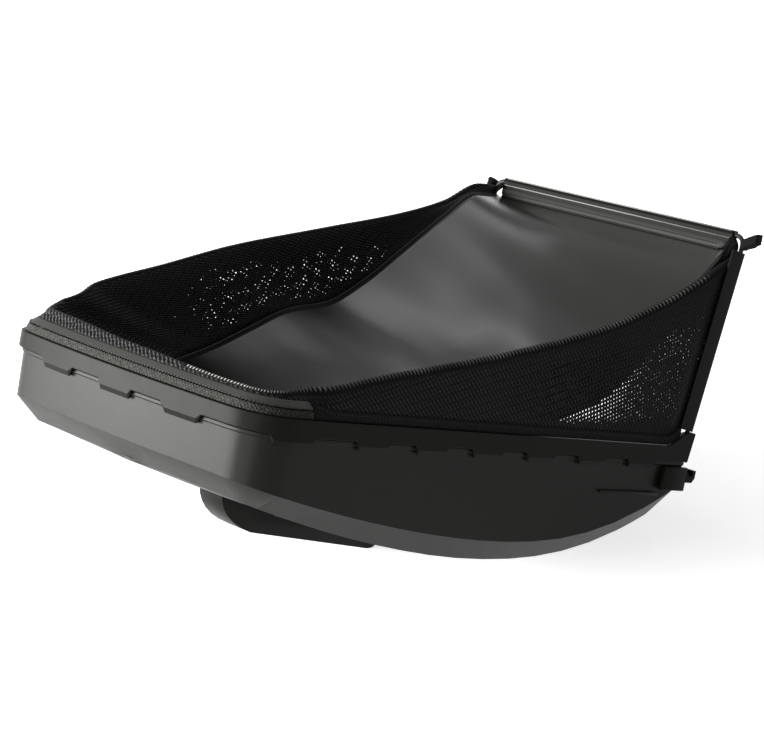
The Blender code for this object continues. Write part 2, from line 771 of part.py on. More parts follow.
def add_brackets(base):
    wall = lid_wall_x(BRACKET_REAR, BRACKET_FRONT, -BRACKET_TOP)
    rib_bottom = BRACKET_BOTTOM - RIB_DROP
    rib_wall = lid_wall_x(RIB_REAR, BRACKET_REAR, -(rib_bottom + RIB_SIZE))
    front = BRACKET_FRONT + MOUTH_SLANT * BRACKET_TOP
    for side_name, sign in (("left", -1), ("right", 1)):
        finish = lid_plastic(f"bracket plastic {side_name}")
        low = (wall, BRACKET_REAR, BRACKET_BOTTOM)
        high = (wall + BRACKET_DEPTH, front, BRACKET_TOP)
        box(f"mouth_bracket_{side_name}", low, high, sign, finish, base, BRACKET_ROUND)
        low = (rib_wall, RIB_REAR, rib_bottom)
        high = (rib_wall + RIB_SIZE, BRACKET_REAR, rib_bottom + RIB_SIZE)
        finish = lid_plastic(f"rib plastic {side_name}")
        box(f"lid_rib_{side_name}", low, high, sign, finish, base, RIB_ROUND)
        finish = lid_plastic(f"hook plastic {side_name}")
        hook = extrusion(f"mount_hook_{side_name}", hook_outline(), HOOK_WIDTH / 2, finish, base)
        middle = Vector((sign * (wall + BRACKET_DEPTH - HOOK_WIDTH / 2), front + GAP, HOOK_BOTTOM))
        set_axes(hook, Vector((0, 1, 0)), Vector((0, 0, 1)), middle)


def hook_outline():
    """A hook seen from the side: a short arm with a lip that turns up at its end."""
    rise = HOOK_TOP - HOOK_BOTTOM
    lip = HOOK_LENGTH * 0.32
    return [
        (0, 0),
        (HOOK_LENGTH * 0.7, 0),
        (HOOK_LENGTH, rise * 0.35),
        (HOOK_LENGTH, rise),
        (HOOK_LENGTH - lip, rise),
        (HOOK_LENGTH - lip, rise * 0.5),
        (HOOK_LENGTH * 0.3, rise * 0.5),
        (0, rise * 0.9),
    ]


def smooth_through(knots, y):
    """A smooth curve through knots of (share of the length, height), without overshoot between them."""
    y /= LENGTH
    if y <= knots[0][0]:
        return knots[0][1]
    if y >= knots[-1][0]:
        return knots[-1][1]
    i = max(k for k in range(len(knots) - 1) if knots[k][0] <= y)
    slopes = [(b[1] - a[1]) / (b[0] - a[0]) for a, b in zip(knots, knots[1:])]

    def tangent(k):
        if k == 0 or k == len(slopes):
            return slopes[min(k, len(slopes) - 1)]
        a, b = slopes[k - 1], slopes[k]
        return 0.0 if a * b <= 0 else 2 * a * b / (a + b)

    span = knots[i + 1][0] - knots[i][0]
    t = (y - knots[i][0]) / span
    ends = knots[i][1] * (1 + 2 * t) * (1 - t) ** 2 + knots[i + 1][1] * t * t * (3 - 2 * t)
    return ends + span * (tangent(i) * t * (1 - t) ** 2 - tangent(i + 1) * t * t * (1 - t))


def ridge_height(y, side):
    """Height of the fold at which the mesh turns inward; the right side is the low one."""
    return smooth_through(LOW_RIDGE if side > 0 else HIGH_RIDGE, y)


def seam_point(side, s, inset=0.0):
    """A point of the seam between wall and sheet, on the ray that matches s on the rim."""
    p = SHEET.at(SHEET.matching(OUTLINE, s), inset)
    heights = LOW_SEAM if side > 0 else HIGH_SEAM
    middle = (smooth_through(LOW_SEAM, p.y) + smooth_through(HIGH_SEAM, p.y)) / 2
    z = mix(middle, smooth_through(heights, p.y), ease(p.x / SHEET_HALF_REAR * SEAM_SPREAD))
    q = slanted(p.x, p.y, z)
    return Vector((side * q.x, q.y, q.z))


def wall_column(side, s):
    """The mesh wall's points from the bands over the ridge and down to the seam."""
    inset, z = band_top(s)
    z += GAP + CLOTH / 2
    foot = OUTLINE.at(s, inset)
    y = foot.y
    top = max(z + RIDGE_RISE, ridge_height(y, side))
    round_by = min(RIDGE_ROUND, (top - z) / 2)
    ridge_in = max(RIDGE_INSET, inset + 2 * round_by)
    seam = seam_point(side, s, -(PIPING + SEAM_ROOM))
    by_leg = ease((y - LENGTH + LEG_FLANGE + LEG_REACH) / (LEG_REACH * LEG_NEAR))
    section = []
    for share in (0.0, 0.4, 0.8):
        across = mix(inset, ridge_in - round_by, share**WALL_LEAN)
        section.append((across, mix(z, top - round_by, share / WALL_FULL)))
    section.append((ridge_in - round_by * 0.7, top - round_by * 0.4))
    section.append((ridge_in, top))
    section.append((ridge_in + round_by, top - round_by * 0.6))
    points = []
    for k, (across, high) in enumerate(section):
        p = OUTLINE.at(s, across)
        q = slanted(p.x, p.y, high)
        inside_flange = wire_at(high, 1).x + clip_radius() - FLANGE_THICK - GAP - CLOTH / 2
        if k < 5:
            q.x = mix(q.x, min(q.x, inside_flange), by_leg)
        points.append(Vector((side * q.x, q.y, q.z)))
    last = points[-1]
    for share in (0.3, 0.65, 1.0):
        p = last.lerp(seam, share)
        p.z -= (last.z - seam.z) * FOLD_SAG * math.sin(math.pi * share)
        points.append(p)
    return points


def add_mesh_walls(base):
    end = OUTLINE.on_side(LENGTH - clip_radius() - GAP)
    side_marks = stations(rear=8, corner=12, side=16, start=MESH_SEAM_AT + GAP, end=end)
    rear_marks = stations(rear=8, corner=12, side=16, end=MESH_SEAM_AT - GAP)
    for side_name, sign in (("left", -1), ("right", 1)):
        line = [(sign, s) for s in side_marks][::sign]
        wall_piece(f"mesh_side_{side_name}", line, base)
    wall_piece("mesh_rear", both_sides(rear_marks), base)


def add_ears(base):
    """The bunched corners of the mesh, that stick out past the bends of the wire."""
    sides = (("left", -1, EAR_REACH_HIGH, EAR_RISE_HIGH), ("right", 1, EAR_REACH_LOW, EAR_RISE_LOW))
    root = wire_at(EAR_FOOT, 1)
    x = root.x + WIRE / 2 + GAP
    for side_name, sign, reach, rise in sides:
        low = (x, root.y - EAR_DEPTH / 2, EAR_FOOT)
        high = (x + reach, root.y + EAR_DEPTH / 2, EAR_FOOT + EAR_HEIGHT)
        finish = cloth_black(f"ear {side_name}")
        ear = box(f"corner_ear_{side_name}", low, high, sign, finish, base, EAR_ROUND)
        for v in ear.data.vertices:
            if abs(v.co.x) > x + reach / 2:
                v.co.z += rise


def wall_piece(name, line, base):
    columns = [wall_column(side, s) for side, s in line]
    rows = [list(row) for row in zip(*columns)]
    piece = place(name, surface(name, rows), cloth_black(name.replace("_", " ")), base)
    thicken(piece, CLOTH, 0)


def sheet_rows():
    marks = stations(rear=8, corner=12, side=16)
    rows = []
    across = 12
    for k in range(across + 1):
        share = k / across
        hump = 4 * share * (1 - share)
        row = []
        for s in marks:
            left = seam_point(-1, s, PIPING + SEAM_ROOM)
            right = seam_point(1, s, PIPING + SEAM_ROOM)
            p = left.lerp(right, share)
            p.y += SHEET_REAR_PULL * right.x * hump * (1 - (right.y - SHEET_REAR) / (LENGTH - SHEET_REAR))
            p.z -= SHEET_SAG * hump * min(1.0, right.x / SHEET_HALF_REAR)
            row.append(p)
        row += sheet_tuck(mix(-1, 1, share))
        rows.append(row)
    return rows


def sheet_tuck(across):
    """Where the sheet passes under the channel's flange and up behind it, to be sewn."""
    x = across * (FRAME_HALF_TOP - WIRE_BEND - CHANNEL_END_GAP - SHEET_TUCK_SIDE)
    flange_y = FRAME_TOP_Y - clip_radius()
    low = FRAME_TOP - CHANNEL_FLANGE - 1.5 * CLOTH
    behind = flange_y + FLANGE_THICK + GAP + CLOTH / 2
    high = FRAME_TOP - clip_radius() - 2 * GAP
    return [
        Vector((x, flange_y - CLOTH, low - CLOTH)),
        Vector((x, flange_y + FLANGE_THICK / 2, low)),
        Vector((x, behind + 2 * GAP, low + CLOTH)),
        Vector((x, behind, high)),
    ]


def add_sheet(base):
    coated = material("coated sheet", (0.03, 0.031, 0.03), 0.4)
    piece = place("base_sheet", surface("base_sheet", sheet_rows()), coated, base)
    thicken(piece, CLOTH, 0)


def add_piping(base):
    """The piped seam between the sheet and the mesh walls, in one run from mouth to mouth."""
    marks = stations(rear=8, corner=12, side=16)
    line = [seam_point(side, s) for side, s in both_sides(marks)]
    wire("seam_piping", line, PIPING, cloth_black("piping"), base, resolution=1)


def shown_points(pieces):
    """The corners of the pieces as they are shown, in the lid's frame."""
    graph = bpy.context.evaluated_depsgraph_get()
    points = []
    for piece in pieces:
        shown = piece.evaluated_get(graph)
        mesh = shown.to_mesh()
        points += [piece.matrix_local @ v.co for v in mesh.vertices]
        shown.to_mesh_clear()
    return points


def leaned(points, tilt):
    turn = Matrix.Rotation(-tilt, 3, "X")
    return [turn @ p for p in points]


def rest_tilt(handle_points, nose_points):
    """The lean at which the handle and the lid's nose touch one level floor."""
    low = 0.0
    high = math.radians(MOST_LEAN)
    for _ in range(40):
        tilt = (low + high) / 2
        handle_low = min(p.z for p in leaned(handle_points, tilt))
        nose_low = min(p.z for p in leaned(nose_points, tilt))
        if handle_low < nose_low:
            low = tilt
        else:
            high = tilt
    return tilt


def stand(base):
    """Leans the part as it rests and puts the middle of its underside at the origin."""
    bpy.context.view_layer.update()
    pieces = {piece.name: piece for piece in base.children}
    handle = shown_points([pieces["carry_handle"]])
    nose = [p for p in shown_points([pieces["cover_shell"]]) if p.y > HANDLE_FRONT]
    tilt = rest_tilt(handle, nose)
    points = leaned(shown_points(pieces.values()), tilt)
    low = Vector(min(p[k] for p in points) for k in range(3))
    high = Vector(max(p[k] for p in points) for k in range(3))
    base.rotation_euler = (-tilt, 0, 0)
    base.location = (-(low.x + high.x) / 2, -(low.y + high.y) / 2, -low.z)
    bpy.context.view_layer.update()


def build():
    clear_scene()
    base = bpy.data.objects.new("lid_frame", None)
    collection(PARTS).objects.link(base)
    add_lid(base)
    add_rail(base)
    add_bands(base)
    add_mouth_frame(base)
    add_handle(base)
    add_brackets(base)
    add_mesh_walls(base)
    add_sheet(base)
    add_piping(base)
    add_ears(base)
    stand(base)


if __name__ == "__main__":
    build()
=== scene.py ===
"""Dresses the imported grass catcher: cloth, ropes, stitches, finishes, floor, lamps and camera."""

import math

import bmesh
import bpy
from mathutils import Matrix, Vector, noise


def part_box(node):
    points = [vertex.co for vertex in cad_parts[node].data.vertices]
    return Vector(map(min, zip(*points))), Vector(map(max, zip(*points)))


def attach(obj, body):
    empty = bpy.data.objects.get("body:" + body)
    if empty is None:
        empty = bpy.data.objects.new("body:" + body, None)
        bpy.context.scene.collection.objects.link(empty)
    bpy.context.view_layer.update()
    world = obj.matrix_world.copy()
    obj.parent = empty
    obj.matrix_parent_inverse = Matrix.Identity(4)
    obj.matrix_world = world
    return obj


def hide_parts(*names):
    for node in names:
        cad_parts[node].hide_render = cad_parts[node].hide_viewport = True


bl_info = {
    "name": "Grass catcher dressing",
    "version": (1, 0, 0),
    "blender": (4, 5, 0),
    "location": "View3D > Sidebar > Catcher",
    "description": "Adds the cloth, stitching and finishes of a lawn mower grass catcher",
    "category": "Object",
}

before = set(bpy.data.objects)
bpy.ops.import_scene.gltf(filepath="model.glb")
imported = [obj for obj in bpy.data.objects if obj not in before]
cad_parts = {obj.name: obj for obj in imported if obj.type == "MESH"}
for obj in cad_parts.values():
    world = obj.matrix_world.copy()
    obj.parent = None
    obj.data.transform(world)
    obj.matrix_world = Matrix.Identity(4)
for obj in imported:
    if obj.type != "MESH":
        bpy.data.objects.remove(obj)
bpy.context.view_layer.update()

# The frame of the lid, in which the cloth is laid out: x to the side, y from the rear to the mouth and
# z up from the rim. It leans until the part rests on its handle and the lid's nose.
LEAN = math.radians(15.83115)
LID_ORIGIN = Vector((-0.000797, -0.346185, 0.267269))

# The rim in plan and the lean of the mouth.
LENGTH = 0.640
HALF_REAR = 0.215
HALF_MOUTH = 0.210
REAR_BOW = 0.014
CORNER_RADIUS = 0.055
MOUTH_SLANT = 0.13
RAIL_LIFT = 0.016
RAIL_LIFT_FROM = 0.598
LIFT_SHORT = 0.010

SIDES = (("left", -1), ("right", 1))

# The sewn bands.
GAP = 0.0003
BAND_INSET = 0.0045
BAND_STEP = 0.0006
BAND_THICK = 0.0016
BAND_CHANGE = 0.030
WEBBING_END = 0.262
WEBBING_HEIGHT = 0.0075
WEBBING_LEAN = 0.0025
TAPE_HEIGHT = 0.0070
TAPE_LEAN = 0.0080
BINDING_HEIGHT = 0.0100
BINDING_LEAN = 0.0010
BINDING_SHORT = 0.002

# The wire frame and its profiles.
WIRE = 0.0055
FRAME_HALF_TOP = 0.195
FRAME_HALF_FOOT = 0.19805
FRAME_TOP = 0.240
FRAME_TOP_Y = LENGTH + MOUTH_SLANT * FRAME_TOP
FRAME_FOOT = -0.030
CLIP_RADIUS = 0.00555
CHANNEL_FLANGE = 0.0160
LEG_FLANGE = 0.0200
FLANGE_THICK = 0.0020
WIRE_BEND = 0.013

# The cloth.
CLOTH = 0.0014
TUCK_DOWN = 0.006  # how far the mesh goes down behind the sewn bands
OUTER_ROWS = 11  # rows of points down the wall: outside its fold, over it, and down to the seam
FOLD_ROWS = 7
INNER_ROWS = 12
RIDGE_INSET = 0.014
RIDGE_ROUND = 0.006
RIDGE_RISE = 0.003
RIDGE_BLEND = 0.14
LEG_REACH = 0.020
MESH_SEAM_AT = 0.214
SHEET_REAR = 0.135
SHEET_MOUTH_AT = 0.628
SHEET_HALF_REAR = 0.148
SHEET_HALF_MOUTH = 0.181
SHEET_BOW = 0.010
SHEET_CORNER = 0.085
SHEET_SAG = 0.012
PIPING = 0.0018
SEAM_TUCK = 0.0009  # how far from the seam the cloth ends, under the piping
SHEET_COLUMNS = 48
SHEET_WAVE = 0.0045  # the wave across the sheet: its height, where it runs, its slant and its width
SHEET_WAVE_AT = 0.300
SHEET_WAVE_SLANT = 0.25
SHEET_WAVE_WIDTH = 0.045
WALL_STEP = 0.006  # distances between the columns of points
BINDING_STEP = 0.008
SHEET_STEP = 0.010
ROPE_SIDES = 8
RIBS_FROM = {"left": 0.24, "right": 0.075}  # where along the rim the ribs on the fold begin
HEM_SHORT = 0.010  # how far the hem ends before the channel's end
MERGE_DISTANCE = 0.00002
HARD_EDGE = math.radians(32)
RAIL_EDGE = math.radians(18)
HIGH_RIDGE = (
    (0.031, 0.027), (0.084, 0.038), (0.156, 0.059), (0.273, 0.084), (0.416, 0.116), (0.608, 0.150),
    (0.787, 0.182), (0.877, 0.204), (0.950, 0.231), (1.000, 0.233),
)
LOW_RIDGE = (
    (0.031, 0.020), (0.117, 0.028), (0.255, 0.048), (0.461, 0.076), (0.700, 0.117), (0.834, 0.152),
    (0.917, 0.183), (0.989, 0.216), (1.000, 0.220),
)
HIGH_SEAM = (
    (0.211, -0.024), (0.302, -0.009), (0.361, 0.005), (0.441, 0.030), (0.527, 0.056),
    (0.620, 0.069), (0.695, 0.098), (0.767, 0.137), (0.850, 0.183), (0.925, 0.219), (0.981, 0.221),
)
LOW_SEAM = (
    (0.211, -0.026), (0.391, -0.028), (0.542, -0.012), (0.672, 0.008), (0.783, 0.034),
    (0.855, 0.076), (0.914, 0.135), (0.948, 0.180), (0.981, 0.213),
)


def linear(hex_colour):
    """An sRGB hex colour as a linear one."""
    parts = [int(hex_colour[k : k + 2], 16) / 255 for k in (1, 3, 5)]
    return tuple(p / 12.92 if p <= 0.04045 else ((p + 0.055) / 1.055) ** 2.4 for p in parts)


def length_property(name, description, default):
    return bpy.props.FloatProperty(name=name, description=description, default=default, unit="LENGTH")


def colour_property(name, description, hex_colour):
    return bpy.props.FloatVectorProperty(
        name=name, description=description, default=linear(hex_colour), subtype="COLOR"
    )


class CatcherSizes(bpy.types.PropertyGroup):
    """Sizes of the cloth's details."""

    hole_pitch: length_property("Mesh pitch", "Distance between holes of the mesh cloth", 0.0032)
    rib_pitch: length_property("Rib pitch", "Distance between ribs on the fold of the mesh", 0.0046)
    rib_height: length_property("Rib height", "How far the ribs stand out on the fold", 0.0005)
    stitch_pitch: length_property("Stitch pitch", "Distance between stitches", 0.0046)
    wrinkle: length_property("Wrinkles", "How far the cloth stands in or out of its plain shape", 0.0012)


class CatcherColours(bpy.types.PropertyGroup):
    """Base colours of the finishes."""

    lid: colour_property("Lid", "Moulded lid and rail", "#1a1b18")
    mesh: colour_property("Mesh", "Knitted mesh of the walls", "#101010")
    sheet: colour_property("Sheet", "Coated base sheet", "#1f1f1d")
    webbing: colour_property("Webbing", "Woven band at the rear rim", "#2b2b28")
    binding: colour_property("Binding", "Binding of the side rims", "#0e0e0d")
    # This colour is a painted highlight: light caught on the tops of the dark knit's ribs where it folds
    # over.
    ribs: colour_property("Fold ribs", "Ribs of the knit where it folds over", "#bdbcb7")


def sizes():
    return bpy.context.scene.catcher_sizes


def colours():
    return bpy.context.scene.catcher_colours


def scaled(colour, factor):
    return [c * factor for c in colour]


def mix(a, b, t):
    return a + (b - a) * t


def ease(t):
    t = min(1.0, max(0.0, t))
    return t * t * (3 - 2 * t)


def smooth_through(knots, y):
    """A smooth curve through knots of (share of the length, height), without overshoot between them."""
    y /= LENGTH
    if y <= knots[0][0]:
        return knots[0][1]
    if y >= knots[-1][0]:
        return knots[-1][1]
    i = max(k for k in range(len(knots) - 1) if knots[k][0] <= y)
    slopes = [(b[1] - a[1]) / (b[0] - a[0]) for a, b in zip(knots, knots[1:])]

    def tangent(k):
        if k == 0 or k == len(slopes):
            return slopes[min(k, len(slopes) - 1)]
        a, b = slopes[k - 1], slopes[k]
        return 0.0 if a * b <= 0 else 2 * a * b / (a + b)

    span = knots[i + 1][0] - knots[i][0]
    t = (y - knots[i][0]) / span
    ends = knots[i][1] * (1 + 2 * t) * (1 - t) ** 2 + knots[i + 1][1] * t * t * (3 - 2 * t)
    return ends + span * (tangent(i) * t * (1 - t) ** 2 - tangent(i + 1) * t * t * (1 - t))


class Outline:
    """Half of a round-cornered plan, from the middle of its rear to the mouth, by distance along it."""

    def __init__(self, half_rear, half_mouth, rear, mouth, bow, radius):
        rear_way = Vector((1, 2 * bow / half_rear)).normalized()
        side_way = Vector((half_mouth - half_rear, mouth - rear)).normalized()
        turn = rear_way.angle(side_way)
        reach = radius * math.tan(turn / 2)
        corner = Vector((half_rear, rear))
        rear_end = half_rear - reach * rear_way.x
        steps = 40
        self.points = []
        for i in range(steps + 1):
            x = rear_end * i / steps
            self.points.append(Vector((x, rear - bow * (1 - (x / half_rear) ** 2))))
        start = self.points.pop()
        end = corner + side_way * reach
        pull = math.cos(turn / 2)
        for i in range(steps + 1):
            t = i / steps
            weights = ((1 - t) ** 2, 2 * t * (1 - t) * pull, t * t)
            bent = start * weights[0] + corner * weights[1] + end * weights[2]
            self.points.append(bent / sum(weights))
        self.points.append(Vector((half_mouth, mouth)))
        self.along = [0.0]
        for a, b in zip(self.points, self.points[1:]):
            self.along.append(self.along[-1] + (b - a).length)
        self.length = self.along[-1]
        self.corner_from = self.along[steps]
        self.side_from = self.along[-2]
        self.side_y = self.points[-2].y
        self.mouth_y = mouth

    def at(self, s, inset=0.0):
        s = min(max(s, 0.0), self.length)
        i = 0
        while i < len(self.along) - 2 and self.along[i + 1] < s:
            i += 1
        t = (s - self.along[i]) / (self.along[i + 1] - self.along[i])
        ways = []
        for k in (i - 1, i, i + 1):
            if 0 <= k < len(self.points) - 1:
                ways.append((self.points[k + 1] - self.points[k]).normalized())
            else:
                ways.append(Vector((1, 0)) if k < 0 else ways[-1])
        first = (ways[0] + ways[1]).normalized()
        way = first.lerp((ways[1] + ways[2]).normalized(), t).normalized()
        return self.points[i].lerp(self.points[i + 1], t) + Vector((-way.y, way.x)) * inset

    def on_side(self, y):
        return mix(self.side_from, self.length, (y - self.side_y) / (self.mouth_y - self.side_y))

    def matching(self, other, s):
        """The distance along this outline that matches s on the other: rear, corner and side alike."""
        if s < other.corner_from:
            return self.corner_from * s / other.corner_from
        if s < other.side_from:
            share = (s - other.corner_from) / (other.side_from - other.corner_from)
            return mix(self.corner_from, self.side_from, share)
        return mix(self.side_from, self.length, (s - other.side_from) / (other.length - other.side_from))


RIM = Outline(HALF_REAR, HALF_MOUTH, 0.0, LENGTH, REAR_BOW, CORNER_RADIUS)
HEM = Outline(SHEET_HALF_REAR, SHEET_HALF_MOUTH, SHEET_REAR, SHEET_MOUTH_AT, SHEET_BOW, SHEET_CORNER)


def slanted(x, y, z, side=1):
    """A point of the lid's frame, with the mouth's lean, on the right or the left side."""
    return Vector((side * x, y + MOUTH_SLANT * z * max(0.0, y) / LENGTH, z))


def stood(p):
    """A point of the lid's frame, as the part stands."""
    c, s = math.cos(LEAN), math.sin(LEAN)
    return LID_ORIGIN + Vector((p.x, p.y * c + p.z * s, p.z * c - p.y * s))


def turned(way):
    """A direction of the lid's frame, as the part stands."""
    return stood(way) - stood(Vector((0, 0, 0)))


def marks_between(start, end, pitch):
    count = max(2, round((end - start) / pitch))
    return [mix(start, end, k / count) for k in range(count + 1)]


def around_rear(marks):
    """The marks of the left side and then of the right as (side, mark), with the first one once."""
    return [(-1, s) for s in reversed(marks)] + [(1, s) for s in marks[1:]]


def uneven(x, y, z):
    return noise.noise(Vector((x, y, z)))


def rail_lift(y):
    return RAIL_LIFT * ease((y - RAIL_LIFT_FROM) / (LENGTH - LIFT_SHORT - RAIL_LIFT_FROM))


def band_top(s):
    """How far in the sewn bands reach at their top edge, and how high: less beside the side walls."""
    share = ease((s - WEBBING_END) / BAND_CHANGE)
    rear_in = BAND_INSET + WEBBING_LEAN + BAND_STEP + TAPE_LEAN
    rear_up = GAP + WEBBING_HEIGHT + 2 * GAP + TAPE_HEIGHT
    high = rail_lift(RIM.at(s).y) + mix(rear_up, GAP + BINDING_HEIGHT, share)
    return mix(rear_in, BAND_INSET + BINDING_LEAN, share), high


def wire_at(z, sign):
    share = (z - FRAME_FOOT) / (FRAME_TOP - FRAME_FOOT)
    foot_y = LENGTH + MOUTH_SLANT * FRAME_FOOT
    x = mix(FRAME_HALF_FOOT, FRAME_HALF_TOP, share)
    return Vector((sign * x, mix(foot_y, FRAME_TOP_Y, share), z))


def ridge_height(s, y, side):
    """The height of the ridge on one side. The two sides meet at the middle of the rear."""
    own = smooth_through(LOW_RIDGE if side > 0 else HIGH_RIDGE, y)
    other = smooth_through(HIGH_RIDGE if side > 0 else LOW_RIDGE, y)
    return mix((own + other) / 2, own, ease(s / RIDGE_BLEND))


def seam_point(side, s, inset=0.0):
    """A point of the seam between wall and sheet, on the ray that matches s on the rim."""
    p = HEM.at(HEM.matching(RIM, s), inset)
    heights = LOW_SEAM if side > 0 else HIGH_SEAM
    middle = (smooth_through(LOW_SEAM, p.y) + smooth_through(HIGH_SEAM, p.y)) / 2
    z = mix(middle, smooth_through(heights, p.y), ease(p.x / SHEET_HALF_REAR * 1.5))
    return slanted(p.x, p.y, z, side)


def ridge_at(side, s):
    """The mesh's ridge: its inset, its height and the radius of its fold."""
    inset, z = band_top(s)
    z += GAP + CLOTH / 2
    top = max(z + RIDGE_RISE, ridge_height(s, RIM.at(s, inset).y, side))
    round_by = min(RIDGE_ROUND, (top - z) / 2)
    return max(RIDGE_INSET, inset + 2 * round_by), top, round_by


def wall_column(side, s):
    """The mesh wall's line from the bands over the ridge and down to the seam, as (point, length)."""
    inset, z = band_top(s)
    z += GAP + CLOTH / 2
    ridge_in, top, round_by = ridge_at(side, s)
    y = RIM.at(s, inset).y
    by_leg = ease((y - LENGTH + LEG_FLANGE + LEG_REACH) / (LEG_REACH * 0.9))
    section = [(inset + 2 * CLOTH, z - TUCK_DOWN), (inset + CLOTH, z - TUCK_DOWN / 2)]
    for k in range(OUTER_ROWS - 2):
        share = k / (OUTER_ROWS - 3)
        across = mix(inset + CLOTH / 2, ridge_in - round_by, share**1.5)
        section.append((across, mix(z, top - round_by, share)))
    for k in range(1, FOLD_ROWS + 1):
        angle = math.pi * (1 - 0.85 * k / FOLD_ROWS)
        section.append((ridge_in + round_by * math.cos(angle), top - round_by * (1 - math.sin(angle))))
    points = []
    for across, high in section:
        p = RIM.at(s, across)
        q = slanted(p.x, p.y, high)
        inside_flange = wire_at(high, 1).x + CLIP_RADIUS - FLANGE_THICK - GAP - CLOTH / 2
        q.x = mix(q.x, min(q.x, inside_flange), by_leg)
        points.append(Vector((side * q.x, q.y, q.z)))
    last = points[-1]
    seam = seam_point(side, s, -SEAM_TUCK)
    for k in range(1, INNER_ROWS + 1):
        share = k / INNER_ROWS
        p = last.lerp(seam, share)
        p.z -= (last.z - seam.z) * 0.12 * math.sin(math.pi * share)
        points.append(p)
    return points


def feed(tree, node, **inputs):
    """Sets a node's inputs, each given by name with _ for spaces, as a value or a socket to link."""
    for name, value in inputs.items():
        key = int(name[1:]) if name[0] == "n" and name[1:].isdigit() else name.replace("_", " ")
        if isinstance(value, bpy.types.NodeSocket):
            tree.links.new(value, node.inputs[key])
        else:
            node.inputs[key].default_value = value
    return node


def add_node(tree, kind, settings=None, **inputs):
    """Adds a shader node with its settings and inputs."""
    made = tree.nodes.new("ShaderNode" + kind)
    for name, value in (settings or {}).items():
        setattr(made, name, value)
    return feed(tree, made, **inputs)


def new_material(name):
    made = bpy.data.materials.new(name)
    made.use_nodes = True
    return made, made.node_tree


def coordinates(tree, kind):
    return add_node(tree, "TexCoord").outputs[kind]


def math_node(tree, operation, a, b=0.0):
    return add_node(tree, "Math", {"operation": operation}, n0=a, n1=b).outputs[0]


def times(tree, a, b):
    return math_node(tree, "MULTIPLY", a, b)


def ranged(tree, value, start, end, low, high, smooth=False):
    """A value that goes from low to high while another goes from start to end."""
    kind = {"interpolation_type": "SMOOTHSTEP" if smooth else "LINEAR"}
    ends = {"From_Min": start, "From_Max": end, "To_Min": low, "To_Max": high}
    return add_node(tree, "MapRange", kind, Value=value, **ends).outputs["Result"]


def noise_at(tree, scale, detail, kind="Object", **inputs):
    """Noise from 0 to 1, with about as many spots to the metre as the scale says."""
    place = coordinates(tree, kind)
    made = add_node(tree, "TexNoise", Vector=place, Scale=scale, Detail=detail, **inputs)
    return made.outputs["Fac"]


def waves(tree, along, across, turn=0.0):
    """Two waves of given lengths over the cloth's cut, square to each other, turned by some degrees."""
    laid = add_node(tree, "Mapping", Vector=coordinates(tree, "UV"), Rotation=(0, 0, math.radians(turn)))
    feed(tree, laid, Scale=(2 * math.pi / along, 2 * math.pi / across, 1))
    parts = add_node(tree, "SeparateXYZ", Vector=laid.outputs["Vector"])
    return [math_node(tree, "SINE", parts.outputs[axis]) for axis in "XY"]


def lengthwise(tree):
    """The place along the part, from about -0.37 at the closed end to 0.37 at the mouth."""
    return add_node(tree, "SeparateXYZ", Vector=coordinates(tree, "Object")).outputs["Y"]


def surfaced(made, colour, rough, gloss, height, strength, depth, **inputs):
    """Feeds a material's shader: its colour, roughness and gloss, and the relief of its surface."""
    tree = made.node_tree
    relief = add_node(tree, "Bump", Height=height, Strength=strength, Distance=depth)
    feed(
        tree, tree.nodes["Principled BSDF"], Base_Color=colour, Roughness=rough,
        Specular_IOR_Level=gloss, Normal=relief.outputs["Normal"], **inputs,
    )
    return made


def between(tree, share, first, second):
    """A colour that goes from the first to the second with a share from 0 to 1."""
    ends = {"A": (*first, 1), "B": (*second, 1)}
    return add_node(tree, "Mix", {"data_type": "RGBA"}, n0=share, **ends).outputs["Result"]


def tinted(tree, share, colour, low, high):
    """A colour that a pattern from 0 to 1 darkens and lightens by the factors low and high."""
    return between(tree, share, scaled(colour, low), scaled(colour, high))


def moulded_polypropylene(name, colour, grain=0.9, gloss=0.10):
    """Polypropylene from a spark-eroded tool: an even fine grain, satin, a little paler on wear."""
    made, tree = new_material(name)
    # The grain is about 0.3 mm on the tool and is drawn at about 1 mm, so that it shows.
    fine = noise_at(tree, 1000 / grain, 2.0)
    broad = noise_at(tree, 9.0, 4.0, Roughness=0.6)
    scuffs = noise_at(tree, 60.0, 6.0, Roughness=0.7)
    rough = ranged(tree, scuffs, 0, 1, 0.32, 0.42)
    return surfaced(made, tinted(tree, broad, colour, 0.80, 1.22), rough, gloss, fine, 0.18, 0.0002)


